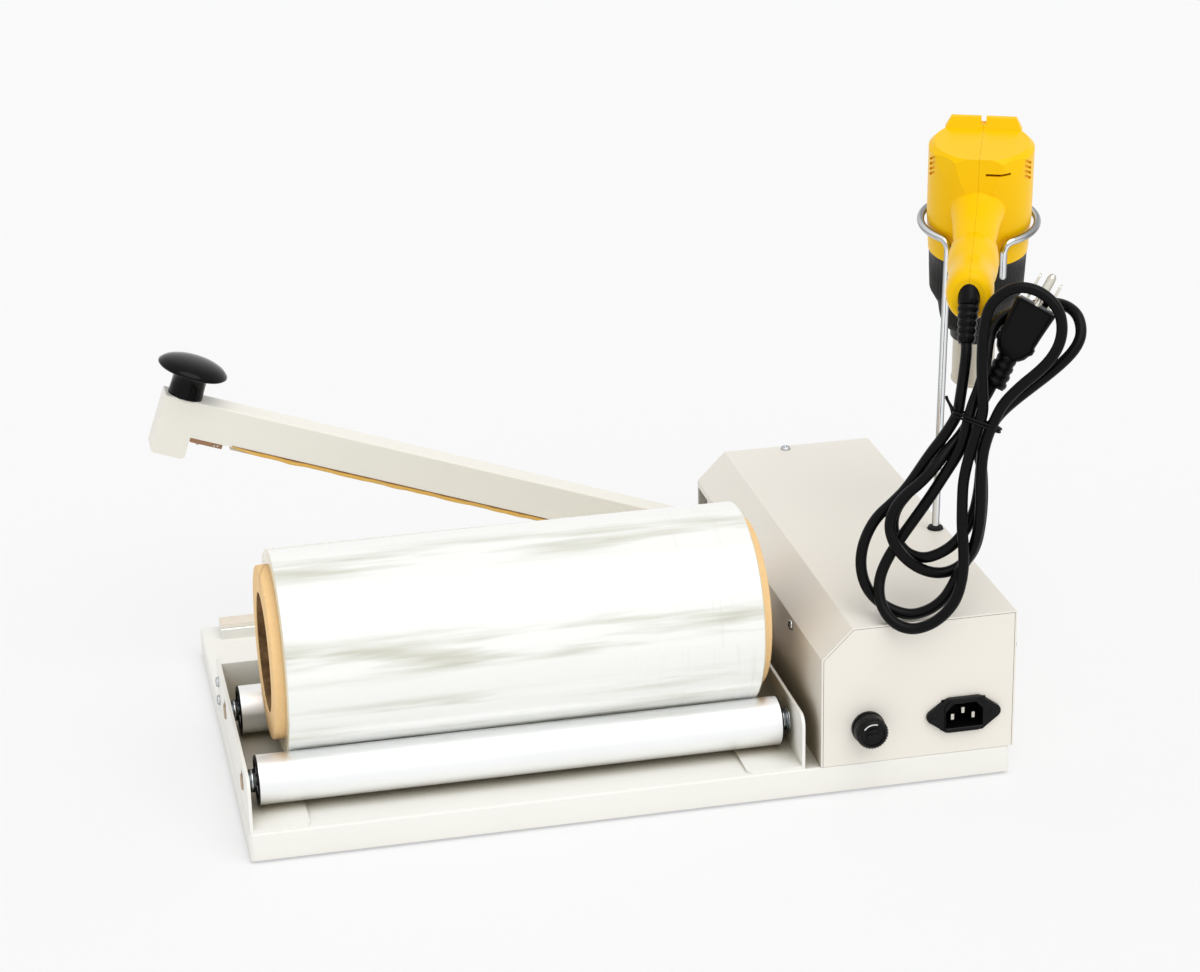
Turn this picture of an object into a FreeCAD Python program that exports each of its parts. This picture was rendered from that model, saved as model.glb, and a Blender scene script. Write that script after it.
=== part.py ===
"""Table-top i-bar sealer: a film roll on two rollers, a hinged hot-wire arm, and a heat gun on a wire stand.

Millimetres, +Z up. The origin is the middle of the footprint, on the table. +X runs from the knob end to the
housing, and -Y is the side with the mains inlet.
"""
import FreeCAD, Part
import math
import os
from FreeCAD import Placement, Rotation, Vector

os.makedirs("parts", exist_ok=True)

# Driving dimensions of the base tray
base_depth = 325.0
skirt_height = 18.5
sheet = 1.5
tray_corner = 3.0
bend = 1.2
bottom_recess = 2.0
foot_height = 4.0
foot_radius = 9.0
foot_inset = 28.0

# Driving dimensions of the housing on the right end of the base
housing_width = 130.2
housing_height = 96.0
housing_chamfer = 20.4
cover_screw_from_front = 71.0
cover_overhang = 2.5
housing_from_cradle = 10.3
cover_sheet = 1.2
panel_sheet = 1.5
panel_flange = 12.0
fit_gap = 0.3

# Driving dimensions of the film cradle and its rollers
plate_height = 37.0
plate_sheet = 2.0
plate_margin = 1.0
plate_run = 194.0
plate_corner = 8.0
flange_width = 38.0
wall_setback = 17.0
wall_flange = 16.0
roller_diameter = 31.75
roller_wall = 1.6
roller_end_gap = 7.0
roller_setback = 36.0
roller_spacing = 105.0
axle_diameter = 8.0
axle_rise = 19.5
axle_slot_height = 12.0
axle_slot_play = 0.2
plug_recess = 2.5
plug_length = 9.0
nut_flats = 13.0
nut_thickness = 5.0
washer_radius = 8.5
washer_thickness = 1.5
running_gap = 0.05

# Driving dimensions of the film roll
film_diameter = 132.5
film_width = 308.0
core_outer = 112.0
core_bore = 77.0
core_stick_out = 7.0
film_left_play = 30.0
film_right_play = 20.0

# Driving dimensions of the lower jaw
jaw_start = 13.5
jaw_width = 20.0
jaw_bar_height = 8.0
jaw_rubber_height = 1.8
jaw_rubber_width = 14.0
tape_thickness = 0.3
jaw_from_back = 15.2
jaw_into_housing = 14.0

# Driving dimensions of the sealing arm
arm_over_edge = 40.4
arm_width = 21.0
arm_depth = 26.0
arm_sheet = 1.2
arm_above_seal = 3.2
arm_open_angle = 19.5
arm_tail = 32.6
pivot_inset = 35.7
pivot_rise = 33.5
pivot_diameter = 8.0
bushing_wall = 2.0
ear_gap = 0.5
ear_sheet = 1.5
pin_head = 1.6
pin_clip = 0.7
ear_half_width = 12.0
hook_length = 24.5
hook_drop = 16.7
sealing_start = 54.0
insulator_height = 14.0
element_width = 3.0
clamp_length = 23.0
clamp_drop = 3.6
clamp_screw_radius = 0.9
clamp_screw_length = 8.0
knob_inset = 14.5
knob_diameter = 49.0
knob_height = 27.7
knob_cap = 10.8
knob_stem_diameter = 24.4
stud_diameter = 6.0
slot_side_gap = 3.0
slot_below_chamfer = 4.6
spring_lug_rise = 12.0
spring_radius = 4.0
spring_wire = 1.4
spring_turns = 9
spring_steps = 8

# Driving dimensions of the fittings in the two end panels
inlet_width = 50.0
inlet_height = 24.6
inlet_shoulder = 24.6
inlet_flange = 3.0
inlet_recess_width = 25.0
inlet_recess_height = 17.0
inlet_recess_depth = 17.0
inlet_wall = 2.2
inlet_from_right = 35.0
inlet_rise = 27.5
inlet_screw_pitch = 40.0
fuse_from_left = 31.0
fuse_rise = 25.5
fuse_flange_radius = 11.0
fuse_barrel_radius = 6.4
fuse_barrel_length = 34.0
fuse_cap_radius = 8.2
fuse_cap_length = 8.0
timer_from_right = 30.0
timer_rise = 62.0
timer_knob_radius = 12.0
timer_knob_length = 15.0
switch_rise = 28.0
switch_width = 27.0
switch_height = 19.5
switch_depth = 22.0
rocker_swing = 10.0

# Driving dimensions of the electrics inside the housing
core_width = 66.0
core_depth = 40.0
core_height = 55.0
coil_overhang = 12.0
core_behind_front = 142.5
board_margin = 12.0
board_sheet = 1.6
board_depth = 60.0
board_behind_front = 190.5
pillar_height = 8.0
relay_length = 28.0
relay_height = 15.4

# Driving dimensions of the wire stand
wire_diameter = 5.0
ring_radius = 38.8
stand_from_right = 7.5
stand_from_front = 145.1
grommet_radius = 5.6
ring_opening = 103.0
ring_bend = 7.0
short_leg = 24.0

# Driving dimensions of the heat gun, in its own frame: +Z through its rear cap, -Y along its handle
gun_right_of_wire = 35.5
gun_behind_wire = 28.9
gun_above_housing = 208.5
gun_yaw = -21.5
gun_tilt = 9.0
gun_lean = 1.0
gun_wall = 2.5
barrel_radius = 34.9
barrel_low_radius = 33.4
seam_level = -19.5
cap_level = 57.5
cap_edge = 3.5
handle_length = 125.0
handle_half_width = 15.2
handle_half_height = 18.2
handle_level = 4.0
gun_switch_along = 72.0
gun_switch_sink = 0.5
shroud_length = 57.5
shroud_ribs = 18
nozzle_radius = 14.5
nozzle_wall = 1.2
nozzle_end = -121.0
relief_length = 29.1
relief_radius = 7.0
relief_angle = 48.2
relief_rise = 0.0
relief_root = 9.0
lip_width = 52.0
lip_height = 6.5
lip_thickness = 3.6
lip_back = 23.0
facet_front = 30.5
facet_corner = 33.0
facet_slope = 8.5
facet_slot_drop = 9.4
facet_slot_start = 4.5
vent_level = 39.5
vent_depth = 1.4

# Driving dimensions of the gun's lead
cord_diameter = 7.2
hank_thickness = 14.4
hank_lean = 17.0
tie_left_of_gun = 52.8
tie_before_gun = 156.8
tie_below_gun = 82.7
tie_height = 6.0
tie_wall = 1.2
tie_turn = 20.0
tie_half_width = 15.5
lead_first_run = 14.0
plug_half_depth = 9.5
lead_entry = (-9.3, 14.5, 2.0)
lead_stub = 9.0
plug_entry = (8.0, 22.0)
plug_turn = 25.0
plug_neck_length = 19.0
plug_length_all = 50.0
plug_half_width = 13.0
blade_length = 16.0

# Levels and places that follow from the sizes above
switch_y = -gun_switch_along
switch_z_low = handle_level + gun_switch_sink - handle_half_height
plate_span = film_left_play + film_width + film_right_play
base_length = plate_margin + plate_span + housing_from_cradle + housing_width - cover_overhang
half_length = base_length / 2
half_depth = base_depth / 2
rim_level = foot_height - bottom_recess
base_top = rim_level + skirt_height
housing_right = half_length + cover_overhang
housing_left = housing_right - housing_width
housing_top = base_top + housing_height
chamfer_level = housing_top - housing_chamfer
plate_left = -half_length + plate_margin
plate_right = plate_left + plate_span
plate_front = -half_depth + plate_margin
plate_back = plate_front + plate_run
plate_top = base_top + plate_height
axle_level = base_top + axle_rise
roller_radius = roller_diameter / 2
roller_left = plate_left + plate_sheet + roller_end_gap
roller_right = plate_right - plate_sheet - roller_end_gap
axle_ys = (-half_depth + roller_setback, -half_depth + roller_setback + roller_spacing)
film_radius = film_diameter / 2
film_y = (axle_ys[0] + axle_ys[1]) / 2
film_level = axle_level + math.sqrt((film_radius + roller_radius + fit_gap) ** 2 - (roller_spacing / 2) ** 2)
film_left = plate_left + film_left_play
jaw_y = half_depth - jaw_from_back
jaw_left = -half_length + jaw_start
jaw_right = housing_left + jaw_into_housing
bar_top = base_top + jaw_bar_height
jaw_top = bar_top + jaw_rubber_height + tape_thickness
pivot_x = housing_left + pivot_inset
pivot_level = base_top + pivot_rise
arm_left = -half_length - arm_over_edge
arm_right = pivot_x + arm_tail
seal_level = jaw_top + fit_gap
element_level = seal_level + tape_thickness
arm_bottom = seal_level + arm_above_seal
arm_top = arm_bottom + arm_depth
bushing_radius = pivot_diameter / 2 + bushing_wall
slot_height = chamfer_level - slot_below_chamfer - base_top
slot_left = jaw_y - arm_width / 2 - slot_side_gap
slot_right = jaw_y + arm_width / 2 + slot_side_gap
inlet_x = housing_right - inlet_from_right
inlet_z = base_top + inlet_rise
fuse_x = housing_left + fuse_from_left
fuse_z = base_top + fuse_rise
timer_x = housing_right - timer_from_right
timer_z = base_top + timer_rise
switch_z = base_top + switch_rise
panel_front = -half_depth
panel_back = half_depth
stand_x = housing_right - stand_from_right
transformer_x = (housing_left + housing_right) / 2 - 4.0
transformer_y = panel_front + core_behind_front
board_front = panel_front + board_behind_front
stand_y = -half_depth + stand_from_front
wire_radius = wire_diameter / 2
gun_x = stand_x + gun_right_of_wire
gun_y = stand_y + gun_behind_wire
gun_z = housing_top + gun_above_housing
tie_x = gun_x - tie_left_of_gun
tie_y = gun_y - tie_before_gun
tie_z = gun_z - tie_below_gun
cord_radius = cord_diameter / 2
X = Vector(1, 0, 0)
Y = Vector(0, 1, 0)
Z = Vector(0, 0, 1)


# Shared shape helpers
def box(x0, x1, y0, y1, z0, z1):
    """A box between two corners."""
    return Part.makeBox(x1 - x0, y1 - y0, z1 - z0, Vector(x0, y0, z0))


def rod(start, along, radius, length):
    """A round bar from a point along a direction."""
    return Part.makeCylinder(radius, length, Vector(*start), Vector(along))


def pipe(start, along, outer, inner, length):
    """A round tube from a point along a direction."""
    return rod(start, along, outer, length).cut(rod(start, along, inner, length))


def prism(points, travel):
    """A closed outline pushed along a vector."""
    corners = [Vector(*point) for point in points]
    return Part.Face(Part.makePolygon(corners + corners[:1])).extrude(Vector(*travel))


def soften(shape, radius, chosen):
    """Rounds the straight edges that a test picks by their direction and middle."""
    edges = []
    for edge in shape.Edges:
        if edge.Curve.TypeId != "Part::GeomLine":
            continue
        direction = edge.tangentAt(edge.FirstParameter)
        if chosen(direction, edge.CenterOfMass):
            edges.append(edge)
    return shape.makeFillet(radius, edges)


def turned(points, axis_point=Vector(0, 0, 0), axis=Z):
    """A profile of (radius, level) points turned about the Z axis, then laid along another axis."""
    corners = [Vector(radius, 0, level) for radius, level in points]
    solid = Part.Face(Part.makePolygon(corners + corners[:1])).revolve(Vector(0, 0, 0), Z, 360)
    solid.Placement = Placement(axis_point, Rotation(Z, axis))
    return solid


def hexagon(centre, along, flats, thickness):
    """A hexagonal prism whose sides stand round an axis."""
    corner = flats / math.sqrt(3)
    points = [(corner * math.cos(math.radians(60 * k)), corner * math.sin(math.radians(60 * k)), 0)
              for k in range(6)]
    solid = prism(points, (0, 0, thickness))
    solid.Placement = Placement(Vector(*centre), Rotation(Z, along))
    return solid


def ring_of_sides(radius, level, sides=14):
    """A closed many-sided ring round the Z axis."""
    turn = 2 * math.pi / sides
    corners = [Vector(radius * math.cos(turn * k), radius * math.sin(turn * k), level) for k in range(sides)]
    return Part.makePolygon(corners + corners[:1])


def screw(seat, along, head_radius, head_height, shank_radius, shank_length):
    """A button-headed screw in few faces: its head stands off the seat, its shank goes in along a direction."""
    head = Part.makeLoft([ring_of_sides(head_radius, 0), ring_of_sides(head_radius, head_height * 0.5),
                          ring_of_sides(head_radius * 0.65, head_height)], True, True)
    shank = Part.makeLoft([ring_of_sides(shank_radius, -shank_length), ring_of_sides(shank_radius, 0)],
                          True, True)
    whole = head.fuse(shank)
    whole.Placement = Placement(Vector(*seat), Rotation(Z, -along))
    return whole


def group(solids):
    """Several separate solids in one sub-part."""
    return Part.makeCompound(solids)


def corner_radius(before, corner, after, share=0.45):
    """The largest arc that a corner's two runs allow, and half of its turn."""
    run_in = corner - before
    run_out = after - corner
    half_turn = run_in.getAngle(run_out) / 2
    return share * min(run_in.Length, run_out.Length) / math.tan(half_turn), half_turn


def bent_path(points, radii=None):
    """Straight runs joined by tangent arcs, with the radii used."""
    edges = []
    used = []
    start = points[0]
    for index in range(1, len(points) - 1):
        corner = points[index]
        radius, half_turn = corner_radius(points[index - 1], corner, points[index + 1])
        if radii:
            radius = radii[index - 1]
        used.append(radius)
        reach = radius * math.tan(half_turn)
        back = (points[index - 1] - corner).normalize()
        ahead = (points[index + 1] - corner).normalize()
        arc_start = corner + back * reach
        arc_end = corner + ahead * reach
        middle = (back + ahead).normalize()
        arc_middle = corner + middle * (radius / math.cos(half_turn) - radius)
        edges.append(Part.LineSegment(start, arc_start).toShape())
        edges.append(Part.Arc(arc_start, arc_middle, arc_end).toShape())
        start = arc_end
    edges.append(Part.LineSegment(start, points[-1]).toShape())
    return edges, used


def swept(edges, radius):
    """A round bar swept along joined edges."""
    path = Part.Wire(edges)
    first = edges[0]
    start = first.valueAt(first.FirstParameter)
    heading = first.tangentAt(first.FirstParameter)
    ring = Part.Wire(Part.makeCircle(radius, start, heading))
    return path.makePipeShell([ring], True, True)


# The base tray, its bottom plate and feet
def base_pan():
    outer = box(-half_length, half_length, -half_depth, half_depth, rim_level, base_top)
    outer = soften(outer, tray_corner, lambda way, middle: abs(way.z) > 0.9)
    outer = outer.makeFillet(bend, [edge for edge in outer.Edges if edge.CenterOfMass.z > base_top - 0.01])
    inner = box(-half_length + sheet, half_length - sheet, -half_depth + sheet, half_depth - sheet,
                rim_level, base_top - sheet)
    inner = soften(inner, tray_corner - sheet, lambda way, middle: abs(way.z) > 0.9)
    return outer.cut(inner)


def bottom_plate():
    inset = sheet + fit_gap
    plate = box(-half_length + inset, half_length - inset, -half_depth + inset, half_depth - inset,
                foot_height, foot_height + sheet)
    return soften(plate, tray_corner, lambda way, middle: abs(way.z) > 0.9)


def rubber_feet():
    feet = []
    for x in (-half_length + foot_inset, half_length - foot_inset):
        for y in (-half_depth + foot_inset, half_depth - foot_inset):
            feet.append(turned([(0, 0), (foot_radius * 0.88, 0), (foot_radius, foot_height),
                                (0, foot_height)],
                               Vector(x, y, 0)))
    return group(feet)


# The film cradle: two side plates and the wall between them
def wall_screw_places():
    """Heights and the y of the screws that tie the cross wall's ends to the side plates."""
    y = plate_front + plate_run - wall_setback + wall_flange * 0.45
    return [(y, base_top + plate_height * 0.2), (y, base_top + plate_height * 0.56)]


def side_plate(outer_x, inward):
    x0, x1 = sorted((outer_x, outer_x + inward * plate_sheet))
    upright = box(x0, x1, plate_front, plate_back, base_top, plate_top)
    upright = soften(upright, plate_corner,
                     lambda way, middle: abs(way.x) > 0.9 and middle.z > plate_top - 0.01)
    f0, f1 = sorted((outer_x, outer_x + inward * flange_width))
    flange = box(f0, f1, plate_front, plate_back, base_top, base_top + plate_sheet)
    free_x = outer_x + inward * flange_width
    flange = soften(flange, plate_corner * 0.75,
                    lambda way, middle: abs(way.z) > 0.9 and abs(middle.x - free_x) < 0.01)
    plate = upright.fuse(flange).removeSplitter()
    half_slot = axle_diameter / 2 + axle_slot_play
    for y in axle_ys:
        low = axle_level - half_slot
        plate = plate.cut(box(x0, x1, y - half_slot, y + half_slot, low, low + axle_slot_height))
    for y, z in wall_screw_places():
        plate = plate.cut(rod((x0, y, z), X, 1.6, plate_sheet))
    return plate


def cross_wall():
    y = plate_back - wall_setback
    left = plate_left + plate_sheet
    right = plate_right - plate_sheet
    wall = box(left, right, y, y + sheet, base_top, plate_top)
    foot = box(left + flange_width, right - flange_width, y, y + wall_flange, base_top, base_top + sheet)
    wall = wall.fuse(foot)
    for x0 in (left, right - sheet):
        wall = wall.fuse(box(x0, x0 + sheet, y, y + wall_flange, base_top + plate_sheet, plate_top))
    wall = wall.cut(box(left, left + flange_width, y, y + sheet, base_top, base_top + plate_sheet))
    wall = wall.cut(box(right - flange_width, right, y, y + sheet, base_top, base_top + plate_sheet))
    for screw_y, z in wall_screw_places():
        wall = wall.cut(rod((left, screw_y, z), X, 1.6, sheet))
        wall = wall.cut(rod((right - sheet, screw_y, z), X, 1.6, sheet))
    return wall.removeSplitter()


def cradle_screws():
    screws = []
    for y, z in wall_screw_places():
        screws.append(screw((plate_left, y, z), X, 3.6, 2.2, 1.5, 7.0))
        screws.append(screw((plate_right, y, z), -X, 3.6, 2.2, 1.5, 7.0))
    return screws


def roller_axles():
    """Two axles, with a washer and a nut on each end against the inner faces of the side plates."""
    pieces = [rod((plate_left, y, axle_level), X, axle_diameter / 2, plate_span) for y in axle_ys]
    hole = axle_diameter / 2 + running_gap
    for y in axle_ys:
        for x, inward in ((plate_left + plate_sheet, X), (plate_right - plate_sheet, -X)):
            seat = Vector(x, y, axle_level)
            pieces.append(pipe(seat, inward, washer_radius, hole, washer_thickness))
            nut_seat = seat + inward * washer_thickness
            nut = hexagon(nut_seat, inward, nut_flats, nut_thickness)
            pieces.append(nut.cut(rod(nut_seat, inward, hole, nut_thickness)))
    return group(pieces)


def roller_tube(y):
    start = (roller_left, y, axle_level)
    return pipe(start, X, roller_radius, roller_radius - roller_wall, roller_right - roller_left)


def roller_plugs(y):
    """The two bearing plugs set into a roller's ends, each with a collar round its bore."""
    bore = axle_diameter / 2 + running_gap
    inner = roller_radius - roller_wall
    profile = [(bore, 0), (bore + 2.5, 0), (bore + 2.5, plug_recess * 0.6), (inner, plug_recess * 0.6),
               (inner, plug_length), (bore, plug_length)]
    left = turned(profile, Vector(roller_left + plug_recess * 0.4, y, axle_level), X)
    right = turned(profile, Vector(roller_right - plug_recess * 0.4, y, axle_level), -X)
    return group([left, right])


# The film roll
def film_wrap():
    start = Vector(film_left, film_y, film_level)
    return pipe(start, X, film_radius, core_outer / 2, film_width)


def film_core():
    start = Vector(film_left - core_stick_out, film_y, film_level)
    return pipe(start, X, core_outer / 2, core_bore / 2, film_width + 2 * core_stick_out)


# The lower jaw
def lower_jaw_bar():
    bar = box(jaw_left, jaw_right, jaw_y - jaw_width / 2, jaw_y + jaw_width / 2, base_top, bar_top)
    return soften(bar, 1.0, lambda way, middle: abs(way.x) > 0.9 and middle.z > bar_top - 0.01)


def jaw_rubber():
    half = jaw_rubber_width / 2
    pad = box(jaw_left, housing_left - sheet, jaw_y - half, jaw_y + half, bar_top,
              bar_top + jaw_rubber_height)
    return soften(pad, 0.5,
                  lambda way, middle: abs(way.x) > 0.9 and middle.z > bar_top + jaw_rubber_height - 0.01)


def jaw_tape():
    half = jaw_rubber_width / 2
    return box(jaw_left, housing_left - sheet, jaw_y - half, jaw_y + half, jaw_top - tape_thickness, jaw_top)


# The sealing arm is laid out closed and swung open about its pivot
def opened(shape):
    shape.rotate(Vector(pivot_x, jaw_y, pivot_level), Y, arm_open_angle)
    return shape


def arm_channel():
    half = arm_width / 2
    body = box(arm_left, arm_right, jaw_y - half, jaw_y + half, arm_bottom, arm_top)
    hook = box(arm_left, arm_left + hook_length, jaw_y - half, jaw_y + half, arm_bottom - hook_drop, arm_top)
    hook = soften(hook, 3.0, lambda way, middle: abs(way.y) > 0.9 and middle.z < arm_bottom)
    body = body.fuse(hook).removeSplitter()
    body = soften(body, bend, lambda way, middle: abs(way.x) > 0.9 and middle.z > arm_top - 0.01)
    inner = half - arm_sheet
    body = body.cut(box(arm_left + arm_sheet, arm_right, jaw_y - inner, jaw_y + inner,
                        arm_bottom - hook_drop, arm_top - arm_sheet))
    body = body.cut(rod((pivot_x, jaw_y - half, pivot_level), Y, bushing_radius, arm_width))
    body = body.cut(rod((arm_left + knob_inset, jaw_y, arm_top - arm_sheet), Z, stud_diameter / 2, arm_sheet))
    lug_x = pivot_x + 4.0
    lug = box(lug_x, lug_x + 8.0, jaw_y - 1.0, jaw_y + 1.0, arm_top, arm_top + spring_lug_rise)
    lug = lug.cut(rod((lug_x + 4.0, jaw_y - 1.0, arm_top + spring_lug_rise - 4.0), Y, 1.5, 2.0))
    return opened(body.fuse(lug))


def sealing_right():
    """The right end of the hot strip, where the arm meets the housing."""
    return housing_left - sheet - 4.0


def arm_insulator():
    half = arm_width / 2 - arm_sheet
    bar = box(arm_left + sealing_start, sealing_right(), jaw_y - half, jaw_y + half,
              element_level + 0.4, arm_bottom + insulator_height)
    return opened(bar)


def sealing_element():
    strip = box(arm_left + sealing_start - 6.0, sealing_right(), jaw_y - element_width / 2,
                jaw_y + element_width / 2, element_level, element_level + 0.4)
    return opened(strip)


def arm_tape():
    """Non-stick tape under the element, turned up a little over both sides of the bar."""
    half = arm_width / 2 - arm_sheet
    left = arm_left + sealing_start
    strip = box(left, sealing_right(), jaw_y - half - tape_thickness, jaw_y + half + tape_thickness,
                seal_level, arm_bottom)
    strip = strip.cut(box(left, sealing_right(), jaw_y - half, jaw_y + half, element_level, arm_bottom))
    return opened(strip)


def clamp_screw_seat():
    """Where the small screw goes up into the clamp's underside, by its front edge."""
    return (arm_left + hook_length + 6.5, jaw_y - arm_width / 2 + 4.0, arm_bottom - clamp_drop)


def tension_clamp():
    """The block that holds the free end of the element, between the hook and the strip."""
    half = arm_width / 2 - arm_sheet
    left = arm_left + hook_length + 0.5
    block = box(left, left + clamp_length, jaw_y - half, jaw_y + half, arm_bottom - clamp_drop,
                arm_bottom + 8.0)
    block = soften(block, 0.8,
                   lambda way, middle: abs(way.y) > 0.9 and middle.z < arm_bottom and middle.x < left + 1.0)
    block = block.cut(rod(clamp_screw_seat(), Z, clamp_screw_radius + running_gap,
                          clamp_screw_length + fit_gap))
    return opened(block)


def arm_fasteners():
    """The knob's stud with its nut, and the clamp's screw."""
    x = arm_left + knob_inset
    stud = rod((x, jaw_y, arm_top - arm_sheet - 7.0), Z, stud_diameter / 2,
               7.0 + arm_sheet + knob_height * 0.6)
    nut = hexagon((x, jaw_y, arm_top - arm_sheet - 5.0), Z, 10.0, 5.0)
    stud = stud.fuse(nut)
    grip = screw(clamp_screw_seat(), Z, 1.5, 1.4, clamp_screw_radius, clamp_screw_length)
    return group([opened(stud), opened(grip)])


def arm_knob():
    """A mushroom knob: a stem that flares into a domed cap, with a blind hole for the stud."""
    stem = knob_stem_diameter / 2
    cap = knob_diameter / 2
    low = knob_height - knob_cap
    hole = stud_diameter / 2
    depth = knob_height * 0.6
    profile = [(hole, 0), (stem, 0), (stem, low - 4.0), (stem + 1.2, low - 1.2), (stem + 4.0, low),
               (cap - 2.0, low),
               (cap, low + 2.4), (cap - 0.6, low + 4.6), (cap - 3.5, low + 6.8),
               (cap * 0.62, knob_height - 1.4),
               (cap * 0.33, knob_height - 0.3), (0, knob_height), (0, depth), (hole, depth)]
    return opened(turned(profile, Vector(arm_left + knob_inset, jaw_y, arm_top)))


def arm_bushing():
    start = (pivot_x, jaw_y - arm_width / 2, pivot_level)
    return opened(pipe(start, Y, bushing_radius, pivot_diameter / 2 + running_gap, arm_width))


# The arm's bearing and return spring inside the housing
def spring_level():
    return arm_top + spring_lug_rise - 4.0


def opened_point(x, z):
    """Where a point of the closed arm stands when the arm is open."""
    angle = math.radians(arm_open_angle)
    dx = x - pivot_x
    dz = z - pivot_level
    return Vector(pivot_x + dx * math.cos(angle) + dz * math.sin(angle), jaw_y,
                  pivot_level - dx * math.sin(angle) + dz * math.cos(angle))


def pivot_bracket():
    """A bracket on the base: two ears for the pivot pin, and a post for the spring."""
    inner = arm_width / 2 + ear_gap
    outer = inner + ear_sheet
    left = pivot_x - ear_half_width
    right = housing_right - cover_sheet - 12.0
    plate = box(left, right, jaw_y - outer, jaw_y + outer, base_top, base_top + ear_sheet)
    ear_top = pivot_level + ear_half_width
    for y in (jaw_y - outer, jaw_y + inner):
        ear = box(left, left + 2 * ear_half_width, y, y + ear_sheet, base_top, ear_top)
        ear = soften(ear, ear_half_width * 0.9,
                     lambda way, middle: abs(way.y) > 0.9 and middle.z > ear_top - 0.01)
        plate = plate.fuse(ear.cut(rod((pivot_x, y, pivot_level), Y, pivot_diameter / 2 + running_gap,
                                       ear_sheet)))
    post = box(right - ear_sheet, right, jaw_y - 8.0, jaw_y + 8.0, base_top, spring_level() + 6.0)
    post = post.cut(rod((right - ear_sheet, jaw_y, spring_level()), X, 1.5, ear_sheet))
    return plate.fuse(post).removeSplitter()


def pivot_pin():
    """A headed pin with a spring clip in a groove at its far end."""
    reach = arm_width / 2 + ear_gap + ear_sheet
    radius = pivot_diameter / 2
    groove = radius - 0.6
    far = jaw_y + reach
    pin = rod((pivot_x, jaw_y - reach, pivot_level), Y, radius, 2 * reach)
    head = rod((pivot_x, jaw_y - reach - pin_head, pivot_level), Y, radius + 2.0, pin_head)
    end = rod((pivot_x, far, pivot_level), Y, groove, pin_clip + 0.2)
    clip = rod((pivot_x, far, pivot_level), Y, radius + 1.5, pin_clip)
    return pin.fuse(head).fuse(end).fuse(clip)


def return_spring():
    """A tension spring from the arm's lug to the bracket's post: a coil with a straight tail at each end."""
    start = opened_point(pivot_x + 8.0, spring_level()) + Vector(4.5, 0, 0)
    end = Vector(housing_right - cover_sheet - 12.0 - ear_sheet, jaw_y, spring_level())
    run = end - start
    tail = 7.0
    coil_length = run.Length - 2 * tail
    half = spring_wire / 2
    sections = []
    for k in range(spring_turns * spring_steps + 1):
        turn = 2 * math.pi * k / spring_steps
        level = coil_length * k / (spring_turns * spring_steps)
        corners = [Vector((spring_radius + x) * math.cos(turn), (spring_radius + x) * math.sin(turn),
                          level + z)
                   for x, z in ((-half, -half), (half, -half), (half, half), (-half, half))]
        sections.append(Part.makePolygon(corners + corners[:1]))
    coil = Part.makeLoft(sections, True, True)
    low = box(-half, spring_radius, -half, half, -half, half)
    high = box(-half, spring_radius, -half, half, coil_length - half, coil_length + half)
    tail_low = box(-half, half, -half, half, -tail, 0)
    tail_high = box(-half, half, -half, half, coil_length, coil_length + tail)
    spring = coil.multiFuse([low, high, tail_low, tail_high])
    spring.Placement = Placement(start + run * (tail / run.Length), Rotation(Z, run))
    return spring


# The housing shell and its two end panels
def cover_outline(inset):
    """The cover's section, moved inwards by an even distance."""
    slope = inset * math.tan(math.radians(22.5))
    left = housing_left + inset
    right = housing_right - inset
    top = housing_top - inset
    return [(left, base_top), (left, chamfer_level - slope), (housing_left + housing_chamfer + slope, top),
            (right, top), (right, base_top)]


def section_prism(inset, y0, y1):
    return prism([(x, y0, z) for x, z in cover_outline(inset)], (0, y1 - y0, 0))


def cover_screw_seats():
    """The seats and directions of the screws through the cover into the panels' flanges."""
    middle = base_top + housing_height * 0.73
    near = panel_front + panel_flange * 0.6
    far = panel_back - panel_flange * 0.5
    return [
        ((housing_left, panel_front + cover_screw_from_front, middle), X),
        ((housing_right, near, middle), -X),
        ((housing_right, far, middle), -X),
        ((housing_left + housing_width * 0.5, far, housing_top), -Z),
    ]


def housing_cover():
    cover = section_prism(0, panel_front, panel_back)
    cover = soften(cover, bend, lambda way, middle: abs(way.y) > 0.9 and middle.z > base_top + 1.0)
    cover = cover.cut(section_prism(cover_sheet, panel_front, panel_back))
    cover = cover.cut(box(housing_left, housing_left + cover_sheet, slot_left, slot_right,
                          base_top, base_top + slot_height))
    cover = cover.cut(rod((stand_x, stand_y, housing_top - cover_sheet), Z, grommet_radius - 1.2,
                          cover_sheet))
    for seat, way in cover_screw_seats():
        cover = cover.cut(rod(seat, way, 1.6, cover_sheet))
    return cover


def end_panel(outer_y, inward):
    """A flat panel inside the cover's end, with flanges turned in along its top and its right side."""
    y0, y1 = sorted((outer_y, outer_y + inward * panel_sheet))
    panel = section_prism(cover_sheet + fit_gap, y0, y1)
    f0, f1 = sorted((outer_y, outer_y + inward * panel_flange))
    inset = cover_sheet + fit_gap
    top_left = housing_left + housing_chamfer + 4.0
    top_right = housing_right - inset - 20.0
    panel = panel.fuse(box(top_left, top_right, f0, f1, housing_top - inset - panel_sheet,
                           housing_top - inset))
    right = housing_right - inset
    panel = panel.fuse(box(right - panel_sheet, right, f0, f1, base_top + housing_height * 0.55,
                           base_top + housing_height * 0.85))
    return panel.removeSplitter()


def drilled(panel):
    """The panel with its holes for the cover screws."""
    for seat, way in cover_screw_seats():
        panel = panel.cut(rod(seat, way, 1.6, 6.0))
    return panel


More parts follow.
